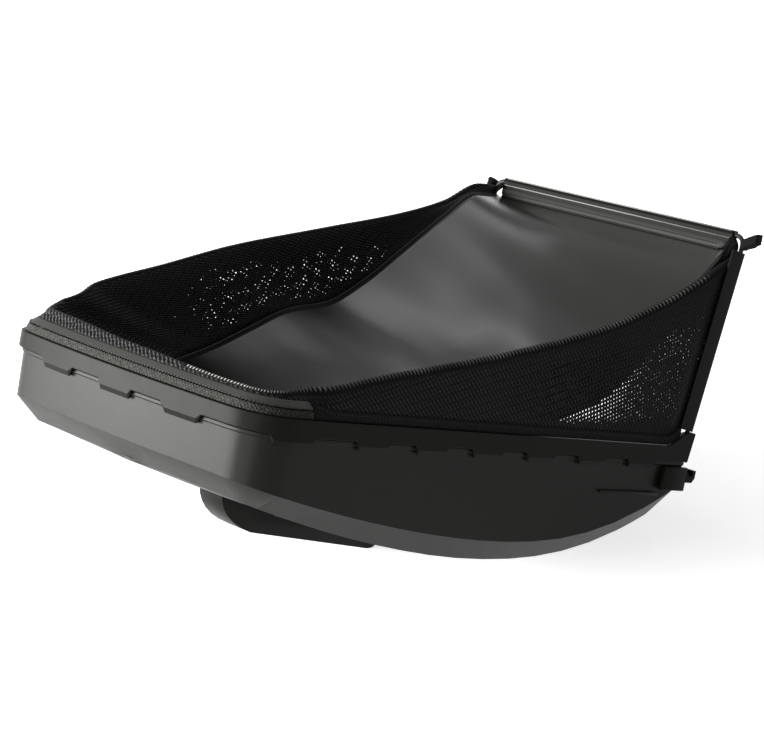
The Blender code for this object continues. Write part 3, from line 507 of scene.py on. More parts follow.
def knitted_mesh(name, colour, pitch, unevenness=0.5):
    """Warp-knitted polyester mesh: raised slanting ribs with a row of small open holes between them."""
    made, tree = new_material(name)
    # Rows of holes 1.6 mm apart are drawn 3.2 mm apart, so that they show. The rows are staggered.
    cells = times(tree, *waves(tree, 2 * pitch / 0.86, 2 * pitch, 24))
    openness = add_node(tree, "Attribute", {"attribute_name": "open"}).outputs["Fac"]
    # The knit pulls its holes open unevenly.
    place = coordinates(tree, "UV")
    spots = add_node(tree, "TexVoronoi", Vector=place, Scale=1.2 / pitch).outputs["Color"]
    change = times(tree, math_node(tree, "SUBTRACT", spots, 0.5), unevenness)
    level = math_node(tree, "ADD", ranged(tree, openness, 0, 1, 1.95, 0.42), change)
    solid = ranged(tree, math_node(tree, "SUBTRACT", cells, level), 0, 0.2, 1, 0)
    # The slanting ribs lie 1.5 mm apart and are drawn nearly three times as far apart.
    lines = waves(tree, 0.0042, 0.0042, -50)[0]
    sunk = times(tree, cells, 0.5)
    raised = math_node(tree, "SUBTRACT", times(tree, lines, 0.6), sunk)
    ribs = ranged(tree, raised, -0.1, 0.9, 0, 1)
    broad = noise_at(tree, 14.0, 3.0)
    rib_pattern_and_painted_light = times(tree, ribs, math_node(tree, "ADD", broad, 0.5))
    # The knit is painted lighter towards its closed end and darker towards the mouth: painted light that
    # falls off away from the key softbox at the rear.
    rib_pattern_and_painted_light = times(tree, rib_pattern_and_painted_light, ranged(tree, lengthwise(tree), -0.33, 0.25, 1.5, 0.20))
    # The colour runs from 0.3 to 7 times the knit's own: the light ribs are partly the knit's raised
    # pattern and partly a painted highlight on them.
    base = tinted(tree, rib_pattern_and_painted_light, colour, 0.30, 7.0)
    return surfaced(made, base, 0.55, 0.05, ribs, 0.9, 0.0008, Alpha=solid)


def ribbed_knit_painted_highlights(name, light, dark):
    """The knit stretched over its fold: a painted highlight on the tops of its ribs, and the knit's own
    dark colour between them.
    """
    made, tree = new_material(name)
    # Yarns of about 0.3 mm are drawn at about 1.4 mm.
    yarn = noise_at(tree, 700.0, 2.0, "UV")
    # Here the attribute named open holds the level of the painted highlight on the ribs.
    rib_highlight_level = add_node(tree, "Attribute", {"attribute_name": "open"}).outputs["Fac"]
    sharp = ranged(tree, rib_highlight_level, 0.35, 0.9, 0, 1, smooth=True)
    level = times(tree, sharp, math_node(tree, "ADD", yarn, 0.5))
    return surfaced(made, between(tree, level, dark, light), 0.6, 0.04, yarn, 0.4, 0.0003)


def coated_sheet(name, colour, least_rough=0.18, dulled=False):
    """Polyester cloth with a rolled-on coating: smooth, satin, with a faint weave and soft streaks."""
    made, tree = new_material(name)
    # Threads 0.6 mm apart are drawn 0.8 mm apart, two to a turn of each wave, so that they show at all.
    weave = times(tree, *waves(tree, 0.0016, 0.0016))
    streaks = noise_at(tree, 5.0, 4.0, Distortion=0.4)
    shine = 0.25
    if dulled:
        # The coating has lost some of its shine towards the closed end, where the cut grass rubs it.
        shine = ranged(tree, lengthwise(tree), -0.18, 0.10, 0.04, shine, smooth=True)
    rough = ranged(tree, streaks, 0, 1, least_rough, least_rough + 0.08)
    return surfaced(made, tinted(tree, streaks, colour, 0.85, 1.2), rough, shine, weave, 0.10, 0.0002)


def woven_webbing(name, colour, coarse=0.0042, sheen=0.1):
    """Woven polyester webbing: thick yarns over and under in rows, rough, dull and speckled."""
    made, tree = new_material(name)
    # The yarns are about 1 mm thick and are drawn up to twice as coarse, two to a turn of each wave.
    weave = ranged(tree, times(tree, *waves(tree, coarse, coarse)), -1, 1, 0, 1)
    specks = ranged(tree, noise_at(tree, 350.0, 2.0, "UV"), 0.38, 0.64, 0, 1)
    height = math_node(tree, "ADD", weave, specks)
    base = tinted(tree, times(tree, height, 0.5), colour, 0.02, 2.7)
    return surfaced(made, base, 0.8, 0.1, height, 0.8, 0.0006, Sheen_Weight=sheen)


def powder_coated_steel(name):
    """Steel wire with a black powder coat: satin with a slight orange peel."""
    made, tree = new_material(name)
    # The peel's waves are between one and two millimetres long.
    peel = noise_at(tree, 700.0, 1.0)
    base = tinted(tree, peel, linear("#1a1a1a"), 0.85, 1.15)
    return surfaced(made, base, 0.4, 0.2, peel, 0.15, 0.0002)


def twisted_yarn(name, colour):
    """Polyester yarn in a tight twist: fine slanting strands with a soft shine."""
    made, tree = new_material(name)
    # Strands of about 0.3 mm are drawn at about 0.7 mm.
    strands = noise_at(tree, 1500.0, 2.0)
    return surfaced(made, tinted(tree, strands, colour, 0.7, 1.3), 0.45, 0.15, strands, 0.4, 0.0003)


def loft(name, rows, material):
    """A cloth drawn out row by row from its first edge. A row is a list of (point, u, v, openness); on
    the fold ribs the last is the level of their painted highlight.
    """
    mesh = bmesh.new()
    openness = mesh.verts.layers.float.new("open")
    cut = {}
    line = []
    for point, u, v, value in rows[0]:
        vertex = mesh.verts.new(point)
        vertex[openness] = value
        cut[vertex] = (u, v)
        line.append(vertex)
    edges = [mesh.edges.new(pair) for pair in zip(line, line[1:])]
    for row in rows[1:]:
        drawn = bmesh.ops.extrude_edge_only(mesh, edges=edges)["geom"]
        fresh = {g for g in drawn if isinstance(g, bmesh.types.BMVert)}
        after = []
        for vertex, (point, u, v, value) in zip(line, row):
            ends = [edge.other_vert(vertex) for edge in vertex.link_edges]
            moved = next(end for end in ends if end in fresh)
            moved.co = point
            moved[openness] = value
            cut[moved] = (u, v)
            after.append(moved)
        line = after
        edges = [mesh.edges.get(pair) for pair in zip(line, line[1:])]
    layer = mesh.loops.layers.uv.new("cut")
    for face in mesh.faces:
        for corner in face.loops:
            corner[layer].uv = cut[corner.vert]
    return finished(name, mesh, material)


def finished(name, mesh, material, flat_ends=False):
    """A smooth piece at the origin from a bmesh, riding with the part."""
    for face in mesh.faces:
        face.smooth = not flat_ends or len(face.verts) == 4
    data = bpy.data.meshes.new(name)
    mesh.to_mesh(data)
    mesh.free()
    data.materials.append(material)
    piece = bpy.data.objects.new(name, data)
    bpy.context.scene.collection.objects.link(piece)
    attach(piece, "root")
    return piece


def stand_for(node):
    """The CAD node that a piece stands in for isn't shown."""
    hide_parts(node)


def with_cut(columns, swell=None, holes=None):
    """Rows of (stood point, u, v, openness) from columns of points, u and v measured along the cloth."""
    rows = [list(row) for row in zip(*columns)]
    reach = [0.0]
    middle = len(rows) // 2
    for a, b in zip(rows[middle], rows[middle][1:]):
        reach.append(reach[-1] + (b - a).length)
    down = [0.0] * len(columns)
    made = []
    for k, row in enumerate(rows):
        line = []
        for i, p in enumerate(row):
            if k:
                down[i] += (p - rows[k - 1][i]).length
            q = p.copy()
            if swell:
                q += swell(k, i / (len(row) - 1), p, row, rows[max(k - 1, 0)], i)
            line.append((stood(q), reach[i], down[i], holes(k, p) if holes else 0.0))
        made.append(line)
    return made


def as_cloth(piece, thickness, node, in_place=True):
    wall = piece.modifiers.new("thickness", "SOLIDIFY")
    wall.thickness = thickness
    wall.offset = 0.0
    if in_place:
        stand_for(node)


class CATCHER_OT_moulded_parts(bpy.types.Operator):
    """Gives the moulded and metal pieces their finishes"""

    bl_idname = "catcher.moulded_parts"
    bl_label = "Moulded parts"

    def execute(self, context):
        own = colours().lid
        lid = moulded_polypropylene("Moulded polypropylene of the lid", own)
        rail = moulded_polypropylene("Moulded polypropylene of the rail", scaled(own, 0.85), gloss=0.05)
        profile = moulded_polypropylene("Extruded polypropylene profile", scaled(own, 0.7), 1.2, 0.04)
        leg = moulded_polypropylene("Extruded polypropylene of the legs", scaled(own, 0.4), 1.2, 0.05)
        grip = moulded_polypropylene("Moulded polypropylene of the handle", scaled(own, 0.7))
        wire = powder_coated_steel("Powder coated steel wire")
        finishes = {
            lid: "cover_shell lid_rib_left lid_rib_right",
            rail: "rim_rail mouth_bracket_left mouth_bracket_right mount_hook_left mount_hook_right",
            grip: "carry_handle", wire: "wire_frame", profile: "mouth_channel",
            leg: "leg_profile_left leg_profile_right",
        }
        for node, finish in [(node, finish) for finish in finishes for node in finishes[finish].split()]:
            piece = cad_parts[node]
            piece.data.materials.clear()
            piece.data.materials.append(finish)
            piece.data.polygons.foreach_set("use_smooth", [True] * len(piece.data.polygons))
            join = piece.modifiers.new("join", "WELD")
            join.merge_threshold = MERGE_DISTANCE
            edges = piece.modifiers.new("hard edges", "EDGE_SPLIT")
            edges.split_angle = RAIL_EDGE if node == "rim_rail" else HARD_EDGE
        return {"FINISHED"}


def calm_at(k):
    """1 amid the cloth before and behind its fold, and 0 at its edges and on the fold."""
    if k < OUTER_ROWS:
        return ease((k - 1) / 2) * ease((OUTER_ROWS - 1 - k) / 2)
    inner = k - OUTER_ROWS - FOLD_ROWS
    return ease((inner + 1) / 3) * ease((INNER_ROWS - 1 - inner) / 2)


def bulge(k, along, p, row, above, i):
    """How far the cloth stands in or out of its plain shape at a point, square to it."""
    calm = min(1.0, calm_at(k) * 1.2) * math.sin(math.pi * along) ** 0.5
    here = uneven(p.x * 9, p.y * 11, p.z * 9 + 3.0)
    fine = uneven(p.x * 26, p.y * 30, p.z * 22 + 7.0)
    side = (row[min(i + 1, len(row) - 1)] - row[max(i - 1, 0)]).cross(p - above[i])
    if side.length < 1e-7:
        return Vector((0, 0, 0))
    return side.normalized() * sizes().wrinkle * calm * (2.2 * here + 0.8 * fine)


def far_holes(k, p):
    """How open the holes are from 0 to 1: most of all where the cloth is stretched amid the wall."""
    return calm_at(k) * mix(0.3, 0.92, ease((p.y - 0.13) / 0.14) * ease((0.57 - p.y) / 0.08))


def near_holes(k, p):
    widest = mix(0.97, 0.70, ease((p.y - 0.46) / 0.10))
    return calm_at(k) * mix(0.45, widest, ease((p.y - 0.34) / 0.05))


def rear_holes(k, p):
    return calm_at(k) * 0.35


class CATCHER_OT_mesh_walls(bpy.types.Operator):
    """Makes the mesh walls at the sides and the rear"""

    bl_idname = "catcher.mesh_walls"
    bl_label = "Mesh walls"

    def execute(self, context):
        pitch = sizes().hole_pitch
        finish = knitted_mesh("Knitted polyester mesh", colours().mesh, pitch)
        # The rear and far walls get a copy of the knit painted nearly twice as light: painted light on
        # the walls that face the key softbox, while the near wall lies in shade.
        paler = scaled(colours().mesh, 1.9)
        pulled = knitted_mesh("Knitted polyester mesh, pulled unevenly", paler, pitch, 1.3)
        end = RIM.on_side(LENGTH - CLIP_RADIUS - GAP)
        for side_name, side in SIDES:
            marks = marks_between(MESH_SEAM_AT + GAP, end, WALL_STEP)
            columns = [wall_column(side, s) for s in marks][:: side]
            holes, knit = (near_holes, finish) if side > 0 else (far_holes, pulled)
            piece = loft(f"mesh_wall_{side_name}", with_cut(columns, bulge, holes), knit)
            as_cloth(piece, CLOTH * 0.4, f"mesh_side_{side_name}")
        marks = marks_between(0.0, MESH_SEAM_AT - GAP, WALL_STEP)
        columns = [wall_column(side, s) for side, s in around_rear(marks)]
        piece = loft("mesh_wall_rear", with_cut(columns, bulge, rear_holes), pulled)
        as_cloth(piece, CLOTH * 0.4, "mesh_rear")
        return {"FINISHED"}


def sheet_tuck(across):
    """The sheet's end under and behind the channel's flange."""
    x = across * (FRAME_HALF_TOP - WIRE_BEND - 0.003)
    flange_y = FRAME_TOP_Y - CLIP_RADIUS
    low = FRAME_TOP - CHANNEL_FLANGE - 1.5 * CLOTH
    behind = flange_y + FLANGE_THICK + GAP + CLOTH / 2
    high = FRAME_TOP - CLIP_RADIUS - 2 * GAP
    line = (
        (flange_y - CLOTH, low - CLOTH), (flange_y + FLANGE_THICK / 2, low),
        (behind + 2 * GAP, low + CLOTH), (behind, high),
    )
    return [Vector((x, y, z)) for y, z in line]


class CATCHER_OT_base_sheet(bpy.types.Operator):
    """Makes the coated sheet that hangs between the walls"""

    bl_idname = "catcher.base_sheet"
    bl_label = "Base sheet"

    def execute(self, context):
        finish = coated_sheet("Coated polyester sheet", colours().sheet, dulled=True)
        marks = marks_between(0.0, RIM.length, SHEET_STEP)
        columns = []
        for k in range(SHEET_COLUMNS + 1):
            share = k / SHEET_COLUMNS
            hump = 4 * share * (1 - share)
            column = []
            for s in marks:
                left = seam_point(-1, s, SEAM_TUCK)
                right = seam_point(1, s, SEAM_TUCK)
                p = left.lerp(right, share)
                p.y += 0.3 * right.x * hump * (1 - (right.y - SHEET_REAR) / (LENGTH - SHEET_REAR))
                p.z -= SHEET_SAG * hump * min(1.0, right.x / SHEET_HALF_REAR)
                # Broad bulges, one slanting wave across the sheet, and finer creases.
                p.z += 0.003 * hump * uneven(p.x * 7, p.y * 9, 1.5)
                off_wave = (p.y - SHEET_WAVE_AT - SHEET_WAVE_SLANT * p.x) / SHEET_WAVE_WIDTH
                p.z += SHEET_WAVE * hump * math.exp(-(off_wave**2))
                p.z += 0.0014 * hump * uneven(p.x * 18 + p.y * 8, p.y * 14, 4.0)
                column.append(p)
            column += sheet_tuck(mix(-1, 1, share))
            columns.append(column)
        piece = loft("coated_base_sheet", with_cut(columns), finish)
        as_cloth(piece, CLOTH * 0.6, "base_sheet")
        return {"FINISHED"}


def rope(name, line, radius, pitch, depth, material):
    """A twisted cord through a line of points, spun ring by ring."""
    mesh = bmesh.new()
    steps = []
    walked = 0.0
    for a, b in zip(line, line[1:]):
        way, span = (b - a).normalized(), (b - a).length
        count = max(1, round(span / (pitch / 5)))
        for k in range(count):
            steps.append((a.lerp(b, k / count), way, walked + span * k / count))
        walked += span
    steps.append((line[-1], (line[-1] - line[-2]).normalized(), walked))
    rings = []
    for centre, way, far in steps:
        side = way.cross(Vector((0, 0, 1))).normalized()
        up = side.cross(way)
        ring = []
        for k in range(ROPE_SIDES):
            angle = 2 * math.pi * k / ROPE_SIDES
            strand = 1 + depth * math.sin(2 * math.pi * far / pitch + angle)
            out = side * math.cos(angle) + up * math.sin(angle)
            ring.append(mesh.verts.new(centre + out * radius * strand))
        rings.append([mesh.edges.new(pair) for pair in zip(ring, ring[1:] + ring[:1])])
    for first, second in zip(rings, rings[1:]):
        bmesh.ops.bridge_loops(mesh, edges=first + second)
    bmesh.ops.holes_fill(mesh, edges=rings[0] + rings[-1])
    bmesh.ops.recalc_face_normals(mesh, faces=mesh.faces)
    return finished(name, mesh, material)


def across_fold(side, s, start, end):
    """Points over the fold at s, from its outer foot to its inner side, swollen where a rib runs."""
    ridge_in, top, round_by = ridge_at(side, s)
    fade = ease((s - start) / 0.01) * ease((end - s) / 0.03)
    # Painted highlight: the ribs are painted lighter before about 0.19 along the rim, on the rear corner
    # that faces the key softbox, and lightest over the top of the fold, with some random change.
    painted_highlight = 1.0 - 0.34 * ease((s - 0.19) / 0.05) + 0.16 * uneven(s * 40, side, 0.5)
    column = []
    rows = 9
    for k in range(rows + 1):
        share = k / rows
        turn = math.pi * mix(1.12, 0.28, share)  # 0.84 of a half turn
        wave = 0.5 + 0.5 * math.cos(2 * math.pi * (s / sizes().rib_pitch - 0.2 * side * share))
        edge = ease(share / 0.22) * ease((1 - share) / 0.3)
        reach = round_by + CLOTH * 0.3 + sizes().rib_height * wave * edge * mix(0.4, 1.0, fade)
        p = RIM.at(s, ridge_in + reach * math.cos(turn))
        q = slanted(p.x, p.y, top - round_by + reach * math.sin(turn), side)
        value = wave * fade * painted_highlight * ease(share / 0.5) * ease((1 - share) / 0.35)
        around = share * 0.84 * math.pi * (round_by + CLOTH * 0.3)
        column.append((stood(q), s, around, value))
    return column


class CATCHER_OT_folds(bpy.types.Operator):
    """Makes the ribbed fold along the top of the mesh and the piped seam of the sheet"""

    bl_idname = "catcher.folds"
    bl_label = "Folds and piping"

    def execute(self, context):
        named = "Knitted polyester mesh, stretched over its fold"
        finish = ribbed_knit_painted_highlights(named, colours().ribs, colours().mesh)
        dark = twisted_yarn("Dark piping yarn", colours().binding)
        end = RIM.on_side(LENGTH - LEG_FLANGE)
        for side_name, side in SIDES:
            start = RIBS_FROM[side_name]
            marks = marks_between(start, end, sizes().rib_pitch / 6)
            line = [across_fold(side, s, start, end) for s in marks][::side]
            piece = loft(f"fold_ribs_{side_name}", [list(row) for row in zip(*line)], finish)
            as_cloth(piece, 0.0004, f"mesh_side_{side_name}", False)
        marks = marks_between(0.0, RIM.length, SHEET_STEP)
        line = [stood(seam_point(side, s)) for side, s in around_rear(marks)]
        piece = rope("piped_seam", line, PIPING * 0.8, 0.006, 0.06, dark)
        stand_for("seam_piping")
        return {"FINISHED"}


def sewn_band(name, marks, low, high, finish, node):
    columns = []
    for side, s in marks:
        column = []
        (foot_in, foot_up), (top_in, top_up) = low(s), high(s)
        for k in range(7):
            share = k / 6
            p = RIM.at(s, mix(foot_in, top_in, share))
            q = slanted(p.x, p.y, mix(foot_up, top_up, share))
            ripple = uneven(s * 90, share * 2, side)
            out = 0.0005 * math.sin(math.pi * share) + 0.0002 * ripple
            # It bulges to the side along the side, and to the rear along the rear.
            x, y = q.x + (out if s > 0.25 else 0), q.y - (out if s < 0.2 else 0)
            column.append(Vector((side * x, y, q.z)))
        columns.append(column)
    piece = loft(name, with_cut(columns), finish)
    as_cloth(piece, BAND_THICK, node)


class CATCHER_OT_rim_bands(bpy.types.Operator):
    """Makes the webbing, the tape and the bindings that are sewn along the rim"""

    bl_idname = "catcher.rim_bands"
    bl_label = "Rim bands"

    def execute(self, context):
        web = woven_webbing("Woven polyester webbing", colours().webbing)
        tape = coated_sheet("Smooth folded tape", scaled(colours().webbing, 1.3), 0.5)
        black = woven_webbing("Black polyester binding", colours().binding, 0.0030, 0.0)

        def foot(s):
            return BAND_INSET, rail_lift(RIM.at(s).y) + 2 * GAP

        def web_top(s):
            return BAND_INSET + WEBBING_LEAN, GAP + WEBBING_HEIGHT

        def tape_foot(s):
            return BAND_INSET + WEBBING_LEAN + BAND_STEP, WEBBING_HEIGHT + 3 * GAP + BAND_THICK / 2

        round_rear = around_rear(marks_between(0.0, WEBBING_END, WALL_STEP))
        sewn_band("webbing_band", round_rear, foot, web_top, web, "rim_webbing")
        sewn_band("tape_band", round_rear, tape_foot, band_top, tape, "rim_tape")
        end = RIM.on_side(LENGTH - LEG_FLANGE - BINDING_SHORT)
        for side_name, side in SIDES:
            marks = [(side, s) for s in marks_between(WEBBING_END + 2 * GAP, end, BINDING_STEP)][::side]
            sewn_band(f"binding_{side_name}", marks, foot, band_top, black, f"rim_binding_{side_name}")
        return {"FINISHED"}


def stitches(name, line, length, thick, finish, node):
    """A row of stitches along a line of (point, normal), each a small flattened bead of thread."""
    mesh = bmesh.new()
    for (a, normal), (b, _) in zip(line, line[1:]):
        way = (b - a).normalized()
        up = (normal - way * normal.dot(way)).normalized()
        turn = Matrix((way, up.cross(way), up)).transposed().to_4x4()
        place = Matrix.Translation((a + b) / 2 + up * thick * 0.2) @ turn
        shape = Matrix.Diagonal((length / 2, thick * 0.7, thick * 0.5, 1))
        bmesh.ops.create_icosphere(mesh, subdivisions=1, radius=1.0, matrix=place @ shape)
    finished(name, mesh, finish)


def bead_along(name, start, end, radius, finish, node):
    """A straight moulded bead between two points, closed at its ends."""
    mesh = bmesh.new()
    way = end - start
    turn = way.to_track_quat("Z", "Y").to_matrix().to_4x4()
    bmesh.ops.create_cone(
        mesh, cap_ends=True, segments=8, radius1=radius, radius2=radius, depth=way.length,
        matrix=Matrix.Translation((start + end) / 2) @ turn,
    )
    finished(name, mesh, finish, flat_ends=True)


def channel_trim(hem, thread, edge):
    half = FRAME_HALF_TOP - WIRE_BEND - 0.004
    face = FRAME_TOP_Y - CLIP_RADIUS - 0.0004
    low = FRAME_TOP - CHANNEL_FLANGE - 0.0022
    # How far each row of the hem stands off the channel's face, and how high it lies.
    section = ((0.0008, 0.0), (0.0008, 0.0010), (0.0007, 0.0034), (0.0006, 0.0095))
    rows = []
    for k, (back, rise) in enumerate(section):
        z = low + rise
        row = []
        for i in range(49):
            x = mix(-half, half - HEM_SHORT * (1 - k / 3), i / 48)
            wave = 0.0003 * uneven(x * 60, k, 2.0)
            row.append((stood(Vector((x, face - back - wave, z))), x + half, z - low, 0.0))
        rows.append(row)
    piece = loft("sewn_hem", rows, hem)
    as_cloth(piece, 0.0008, "base_sheet", False)
    cord = twisted_yarn("Black yarn of the hem's edge", linear("#0b0b0a"))
    along = [mix(-half, half - HEM_SHORT, i / 60) for i in range(61)]
    lower = [stood(Vector((x, face - 0.0012, low - 0.0004))) for x in along]
    rope("hem_edge", lower, 0.0011, 0.004, 0.08, cord)
    count = round(2 * (half - 0.012) / sizes().stitch_pitch)
    line = []
    for i in range(count + 1):
        x = mix(-half + 0.004, half - 0.014, i / count)
        spot = stood(Vector((x, face - 0.0017, low + 0.0045)))
        line.append((spot, turned(Vector((0, -1, 0)))))
    stitches("hem_stitches", line, sizes().stitch_pitch * 0.72, 0.0011, thread, "base_sheet")
    # Both beads are given a light colour: painted highlights along the channel's rounded face.
    beads = (("upper", CLIP_RADIUS * 0.72, 0.0040), ("lower", CLIP_RADIUS, -0.0042))
    for name, back, z in beads:
        ends = [stood(Vector((x, FRAME_TOP_Y - back, FRAME_TOP + z))) for x in (-half, half)]
        bead_along(f"channel_bead_{name}", *ends, 0.0007, edge, "mouth_channel")


def rim_stitches(thread):
    def out(side, s):
        """Straight out from the rim at s and a little up, as the part stands."""
        a, b = RIM.at(s - 0.002), RIM.at(s + 0.002)
        way = (b - a).normalized()
        return turned(Vector((side * way.y, -way.x, 0.15)))

    size = (sizes().stitch_pitch * 0.7, 0.0010)
    line = []
    for side, s in around_rear(marks_between(0.0, WEBBING_END, sizes().stitch_pitch)):
        p = RIM.at(s, BAND_INSET + WEBBING_LEAN + BAND_STEP - BAND_THICK / 2)
        spot = slanted(p.x, p.y, WEBBING_HEIGHT + 0.0022, side)
        line.append((stood(spot), out(side, s)))
    stitches("tape_stitches", line, *size, thread, "rim_tape")
    end = RIM.on_side(LENGTH - LEG_FLANGE - BINDING_SHORT - 0.004)
    for side_name, side in SIDES:
        line = []
        for s in marks_between(WEBBING_END + 0.006, end, sizes().stitch_pitch):
            inset, high = band_top(s)
            p = RIM.at(s, mix(BAND_INSET, inset, 0.75) - BAND_THICK / 2 - 0.0004)
            line.append((stood(slanted(p.x, p.y, high - 0.0030, side)), out(side, s)))
        dark = twisted_yarn(f"Bonded black thread {side_name}", linear("#151514"))
        stitches(f"binding_stitches_{side_name}", line, *size, dark, f"rim_binding_{side_name}")


class CATCHER_OT_sewing(bpy.types.Operator):
    """Makes the hem on the channel, the beads on the profiles and the rows of stitches"""

    bl_idname = "catcher.sewing"
    bl_label = "Sewing and beads"

    def execute(self, context):
        hem = coated_sheet("Folded hem of coated polyester", scaled(colours().sheet, 2.2), 0.6)
        thread = twisted_yarn("Bonded polyester thread", linear("#30302d"))
        # The light colour of the channel's beads is a painted highlight.
        edge = moulded_polypropylene("Worn bead of extruded polypropylene", linear("#8a8b86"), 1.2, 0.3)
        channel_trim(hem, thread, edge)
        rim_stitches(thread)
        return {"FINISHED"}


def gusset(side):
    """Columns of cloth from the wall's end, between its fold and its seam, to the wire's bend."""
    wall = wall_column(side, RIM.on_side(LENGTH - CLIP_RADIUS - GAP))[OUTER_ROWS + FOLD_ROWS - 1 :]
    bend = FRAME_TOP - WIRE_BEND
    path = [wire_at(bend - 0.018, 1), wire_at(bend, 1)]
    for k in range(1, 7):
        angle = math.pi / 2 * k / 6
        x = FRAME_HALF_TOP - WIRE_BEND * (1 - math.cos(angle))
        path.append(Vector((x, wire_at(bend, 1).y, bend + WIRE_BEND * math.sin(angle))))
    path.append(Vector((FRAME_HALF_TOP - WIRE_BEND - 0.004, FRAME_TOP_Y, FRAME_TOP - 0.001)))
    columns = []
    for k, start in enumerate(wall):
        down = k / (len(wall) - 1)
        far = down * (len(path) - 1)
        i = min(int(far), len(path) - 2)
        end = path[i].lerp(path[i + 1], far - i)
        end = Vector((side * (end.x - WIRE * 0.3), end.y - WIRE / 2 - CLOTH / 2, end.z - WIRE * 0.3))
        column = []
        for r in range(6):
            p = start.lerp(end, r / 5)
            ripple = math.sin(math.pi * r / 5) * math.sin(5 * math.pi * down)
            p.x += side * 0.0010 * ripple
            column.append(p)
        columns.append(column)
    return columns[::side]


class CATCHER_OT_corner_ears(bpy.types.Operator):
    """Makes the bunched ends of the mesh at the top corners of the mouth"""

    bl_idname = "catcher.corner_ears"
    bl_label = "Corner ears"

    def execute(self, context):
        finish = woven_webbing("Bunched mesh end", scaled(colours().mesh, 0.6), 0.0024, 0.0)
        for side_name in ("left", "right"):
            low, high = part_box(f"corner_ear_{side_name}")
            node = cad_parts[f"corner_ear_{side_name}"]
            mesh = bmesh.new()
            mesh.from_mesh(node.data)
            bmesh.ops.remove_doubles(mesh, verts=mesh.verts, dist=MERGE_DISTANCE)
            bmesh.ops.subdivide_edges(mesh, edges=mesh.edges, cuts=2, use_grid_fill=True)
            for _ in range(3):
                bmesh.ops.smooth_vert(
                    mesh, verts=mesh.verts, factor=0.5, use_axis_x=True, use_axis_y=True, use_axis_z=True
                )
            for vertex in mesh.verts:
                push = 0.0012 + noise.noise(vertex.co * 190) * 0.0012
                fold = math.sin(vertex.co.y * 2600 + vertex.co.z * 500) * 0.0005
                vertex.co += (vertex.co - (low + high) / 2).normalized() * (push + fold)
            bmesh.ops.recalc_face_normals(mesh, faces=mesh.faces)
            piece = finished(f"bunched_ear_{side_name}", mesh, finish)
            stand_for(f"corner_ear_{side_name}")
        knit = knitted_mesh("Knitted polyester mesh of the corners", colours().mesh, sizes().hole_pitch)
        for side_name, side in SIDES:
            piece = loft(f"corner_gusset_{side_name}", with_cut(gusset(side)), knit)
            as_cloth(piece, CLOTH * 0.4, f"mesh_side_{side_name}", False)
        return {"FINISHED"}


def add_floor():
    mesh = bmesh.new()
    bmesh.ops.create_grid(mesh, x_segments=1, y_segments=1, size=6.0)
    data = bpy.data.meshes.new("Pale floor")
    mesh.to_mesh(data)
    mesh.free()
    floor = bpy.data.objects.new("Pale floor", data)
    bpy.context.scene.collection.objects.link(floor)
    made, tree = new_material("Matt white paper")
    place = coordinates(tree, "Object")
    # The paper runs out into plain white around the object, and keeps the object's shadow near it. Its
    # emission is also made weaker nearer than 0.95 m to the floor's middle, where the object stands:
    # painted shade, which the lid's gloss reflects as well.
    far = add_node(tree, "VectorMath", {"operation": "LENGTH"}, n0=place).outputs["Value"]
    emission_with_painted_shade = times(tree, ranged(tree, far, 0.35, 0.95, 0.76, 1.0, True), seen(tree))
    feed(
        tree, tree.nodes["Principled BSDF"], Base_Color=(*linear("#f4f4f4"), 1), Roughness=0.9,
        Specular_IOR_Level=0.1, Emission_Color=(1, 1, 1, 1), Emission_Strength=emission_with_painted_shade,
    )
    data.materials.append(made)


def seen(tree):
    """1 for the rays that show the surroundings: to the camera, in a gloss and through glass."""
    path = add_node(tree, "LightPath")
    kinds = ("Camera", "Glossy", "Transmission")
    camera, gloss, glass = [path.outputs[f"Is {kind} Ray"] for kind in kinds]
    return math_node(tree, "MAXIMUM", camera, math_node(tree, "MAXIMUM", gloss, glass))


def add_surroundings(scene):
    world = bpy.data.worlds.new("White studio")
    world.use_nodes = True
    tree = world.node_tree
    tree.nodes.clear()
    plain = add_node(tree, "Background", Color=(1, 1, 1, 1), Strength=1.0)
    soft = add_node(tree, "Background", Color=(1, 1, 1, 1), Strength=0.06)
    shown = seen(tree)
    blend = add_node(tree, "MixShader", n0=shown, n1=soft.outputs[0], n2=plain.outputs[0])
    add_node(tree, "OutputWorld", Surface=blend.outputs[0])
    scene.world = world


def add_lamp(name, place, aim, size, power):
    light = bpy.data.lights.new(name, "AREA")
    light.shape = "RECTANGLE"
    light.size, light.size_y = size
    light.energy = power
    piece = bpy.data.objects.new(name, light)
    piece.location = place
    way = Vector(aim) - Vector(place)
    piece.rotation_euler = way.to_track_quat("-Z", "Y").to_euler()
    bpy.context.scene.collection.objects.link(piece)


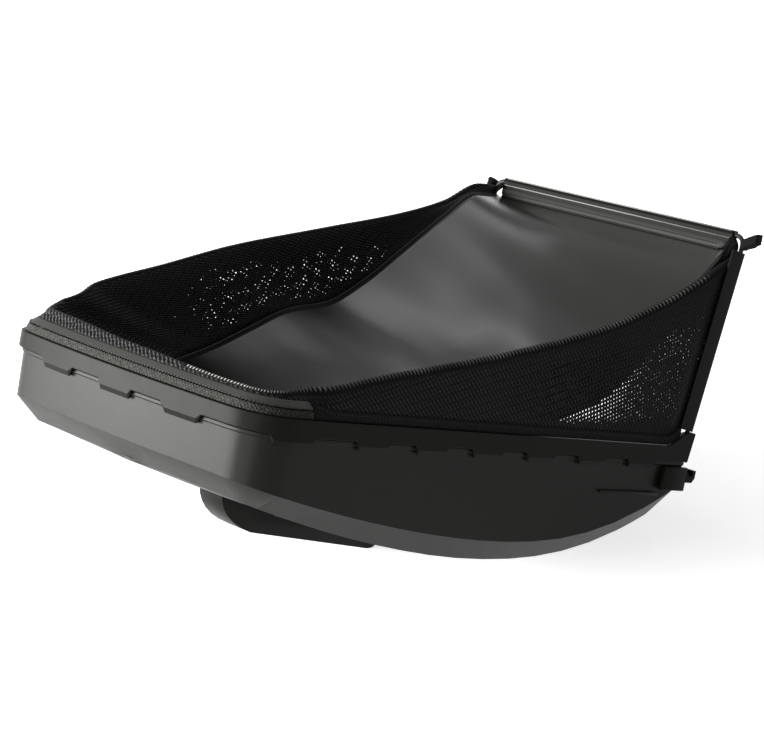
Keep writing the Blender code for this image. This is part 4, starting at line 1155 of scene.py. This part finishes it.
class CATCHER_OT_stage(bpy.types.Operator):
    """Sets up the floor, the lamps, the surroundings and the camera"""

    bl_idname = "catcher.stage"
    bl_label = "Stage"

    def execute(self, context):
        scene = context.scene
        scene.view_settings.view_transform = "Standard"
        add_floor()
        add_surroundings(scene)
        add_lamp("Key softbox", (-1.70, -2.86, 0.66), (0, -0.2, 0.15), (3.2, 1.1), 330)
        add_lamp("Corner softbox", (1.3, -3.4, 0.28), (0.19, -0.35, 0.21), (1.6, 0.8), 36)
        add_lamp("Overhead softbox", (-0.6, 0.4, 2.9), (0, 0, 0.1), (1.6, 1.6), 7)
        add_lamp("Sheet softbox", (-0.76, 0.80, 2.18), (-0.06, 0.14, 0.20), (0.5, 0.4), 3.5)
        add_lamp("Back softbox", (-1.38, 2.02, 1.12), (-0.14, 0.32, 0.29), (0.5, 0.5), 1.8)
        view = bpy.data.cameras.new("Photograph view")
        view.lens = 117.8
        view.sensor_width = 36.0
        camera = bpy.data.objects.new("Photograph view", view)
        camera.location = (1.93220, -1.75229, 1.00380)
        camera.rotation_euler = (math.radians(72.798), math.radians(0.140), math.radians(47.855))
        scene.collection.objects.link(camera)
        scene.camera = camera
        return {"FINISHED"}


class CATCHER_PT_panel(bpy.types.Panel):
    """Shows the catcher's sizes, its colours and the buttons of its steps."""

    bl_label = "Grass catcher"
    bl_space_type = "VIEW_3D"
    bl_region_type = "UI"
    bl_category = "Catcher"

    def draw(self, context):
        for group in (context.scene.catcher_sizes, context.scene.catcher_colours):
            for name in group.__annotations__:
                self.layout.prop(group, name)
        for operator in OPERATORS:
            self.layout.operator(operator.bl_idname)


OPERATORS = (
    CATCHER_OT_stage,
    CATCHER_OT_moulded_parts,
    CATCHER_OT_mesh_walls,
    CATCHER_OT_base_sheet,
    CATCHER_OT_folds,
    CATCHER_OT_rim_bands,
    CATCHER_OT_corner_ears,
    CATCHER_OT_sewing,
)
CLASSES = (CatcherSizes, CatcherColours, *OPERATORS, CATCHER_PT_panel)


def register():
    for item in CLASSES:
        bpy.utils.register_class(item)
    bpy.types.Scene.catcher_sizes = bpy.props.PointerProperty(type=CatcherSizes)
    bpy.types.Scene.catcher_colours = bpy.props.PointerProperty(type=CatcherColours)


def unregister():
    del bpy.types.Scene.catcher_colours
    del bpy.types.Scene.catcher_sizes
    for item in reversed(CLASSES):
        bpy.utils.unregister_class(item)


def main():
    register()
    bpy.ops.catcher.stage()
    bpy.ops.catcher.moulded_parts()
    bpy.ops.catcher.mesh_walls()
    bpy.ops.catcher.base_sheet()
    bpy.ops.catcher.folds()
    bpy.ops.catcher.rim_bands()
    bpy.ops.catcher.corner_ears()
    bpy.ops.catcher.sewing()


if __name__ == "__main__":
    main()
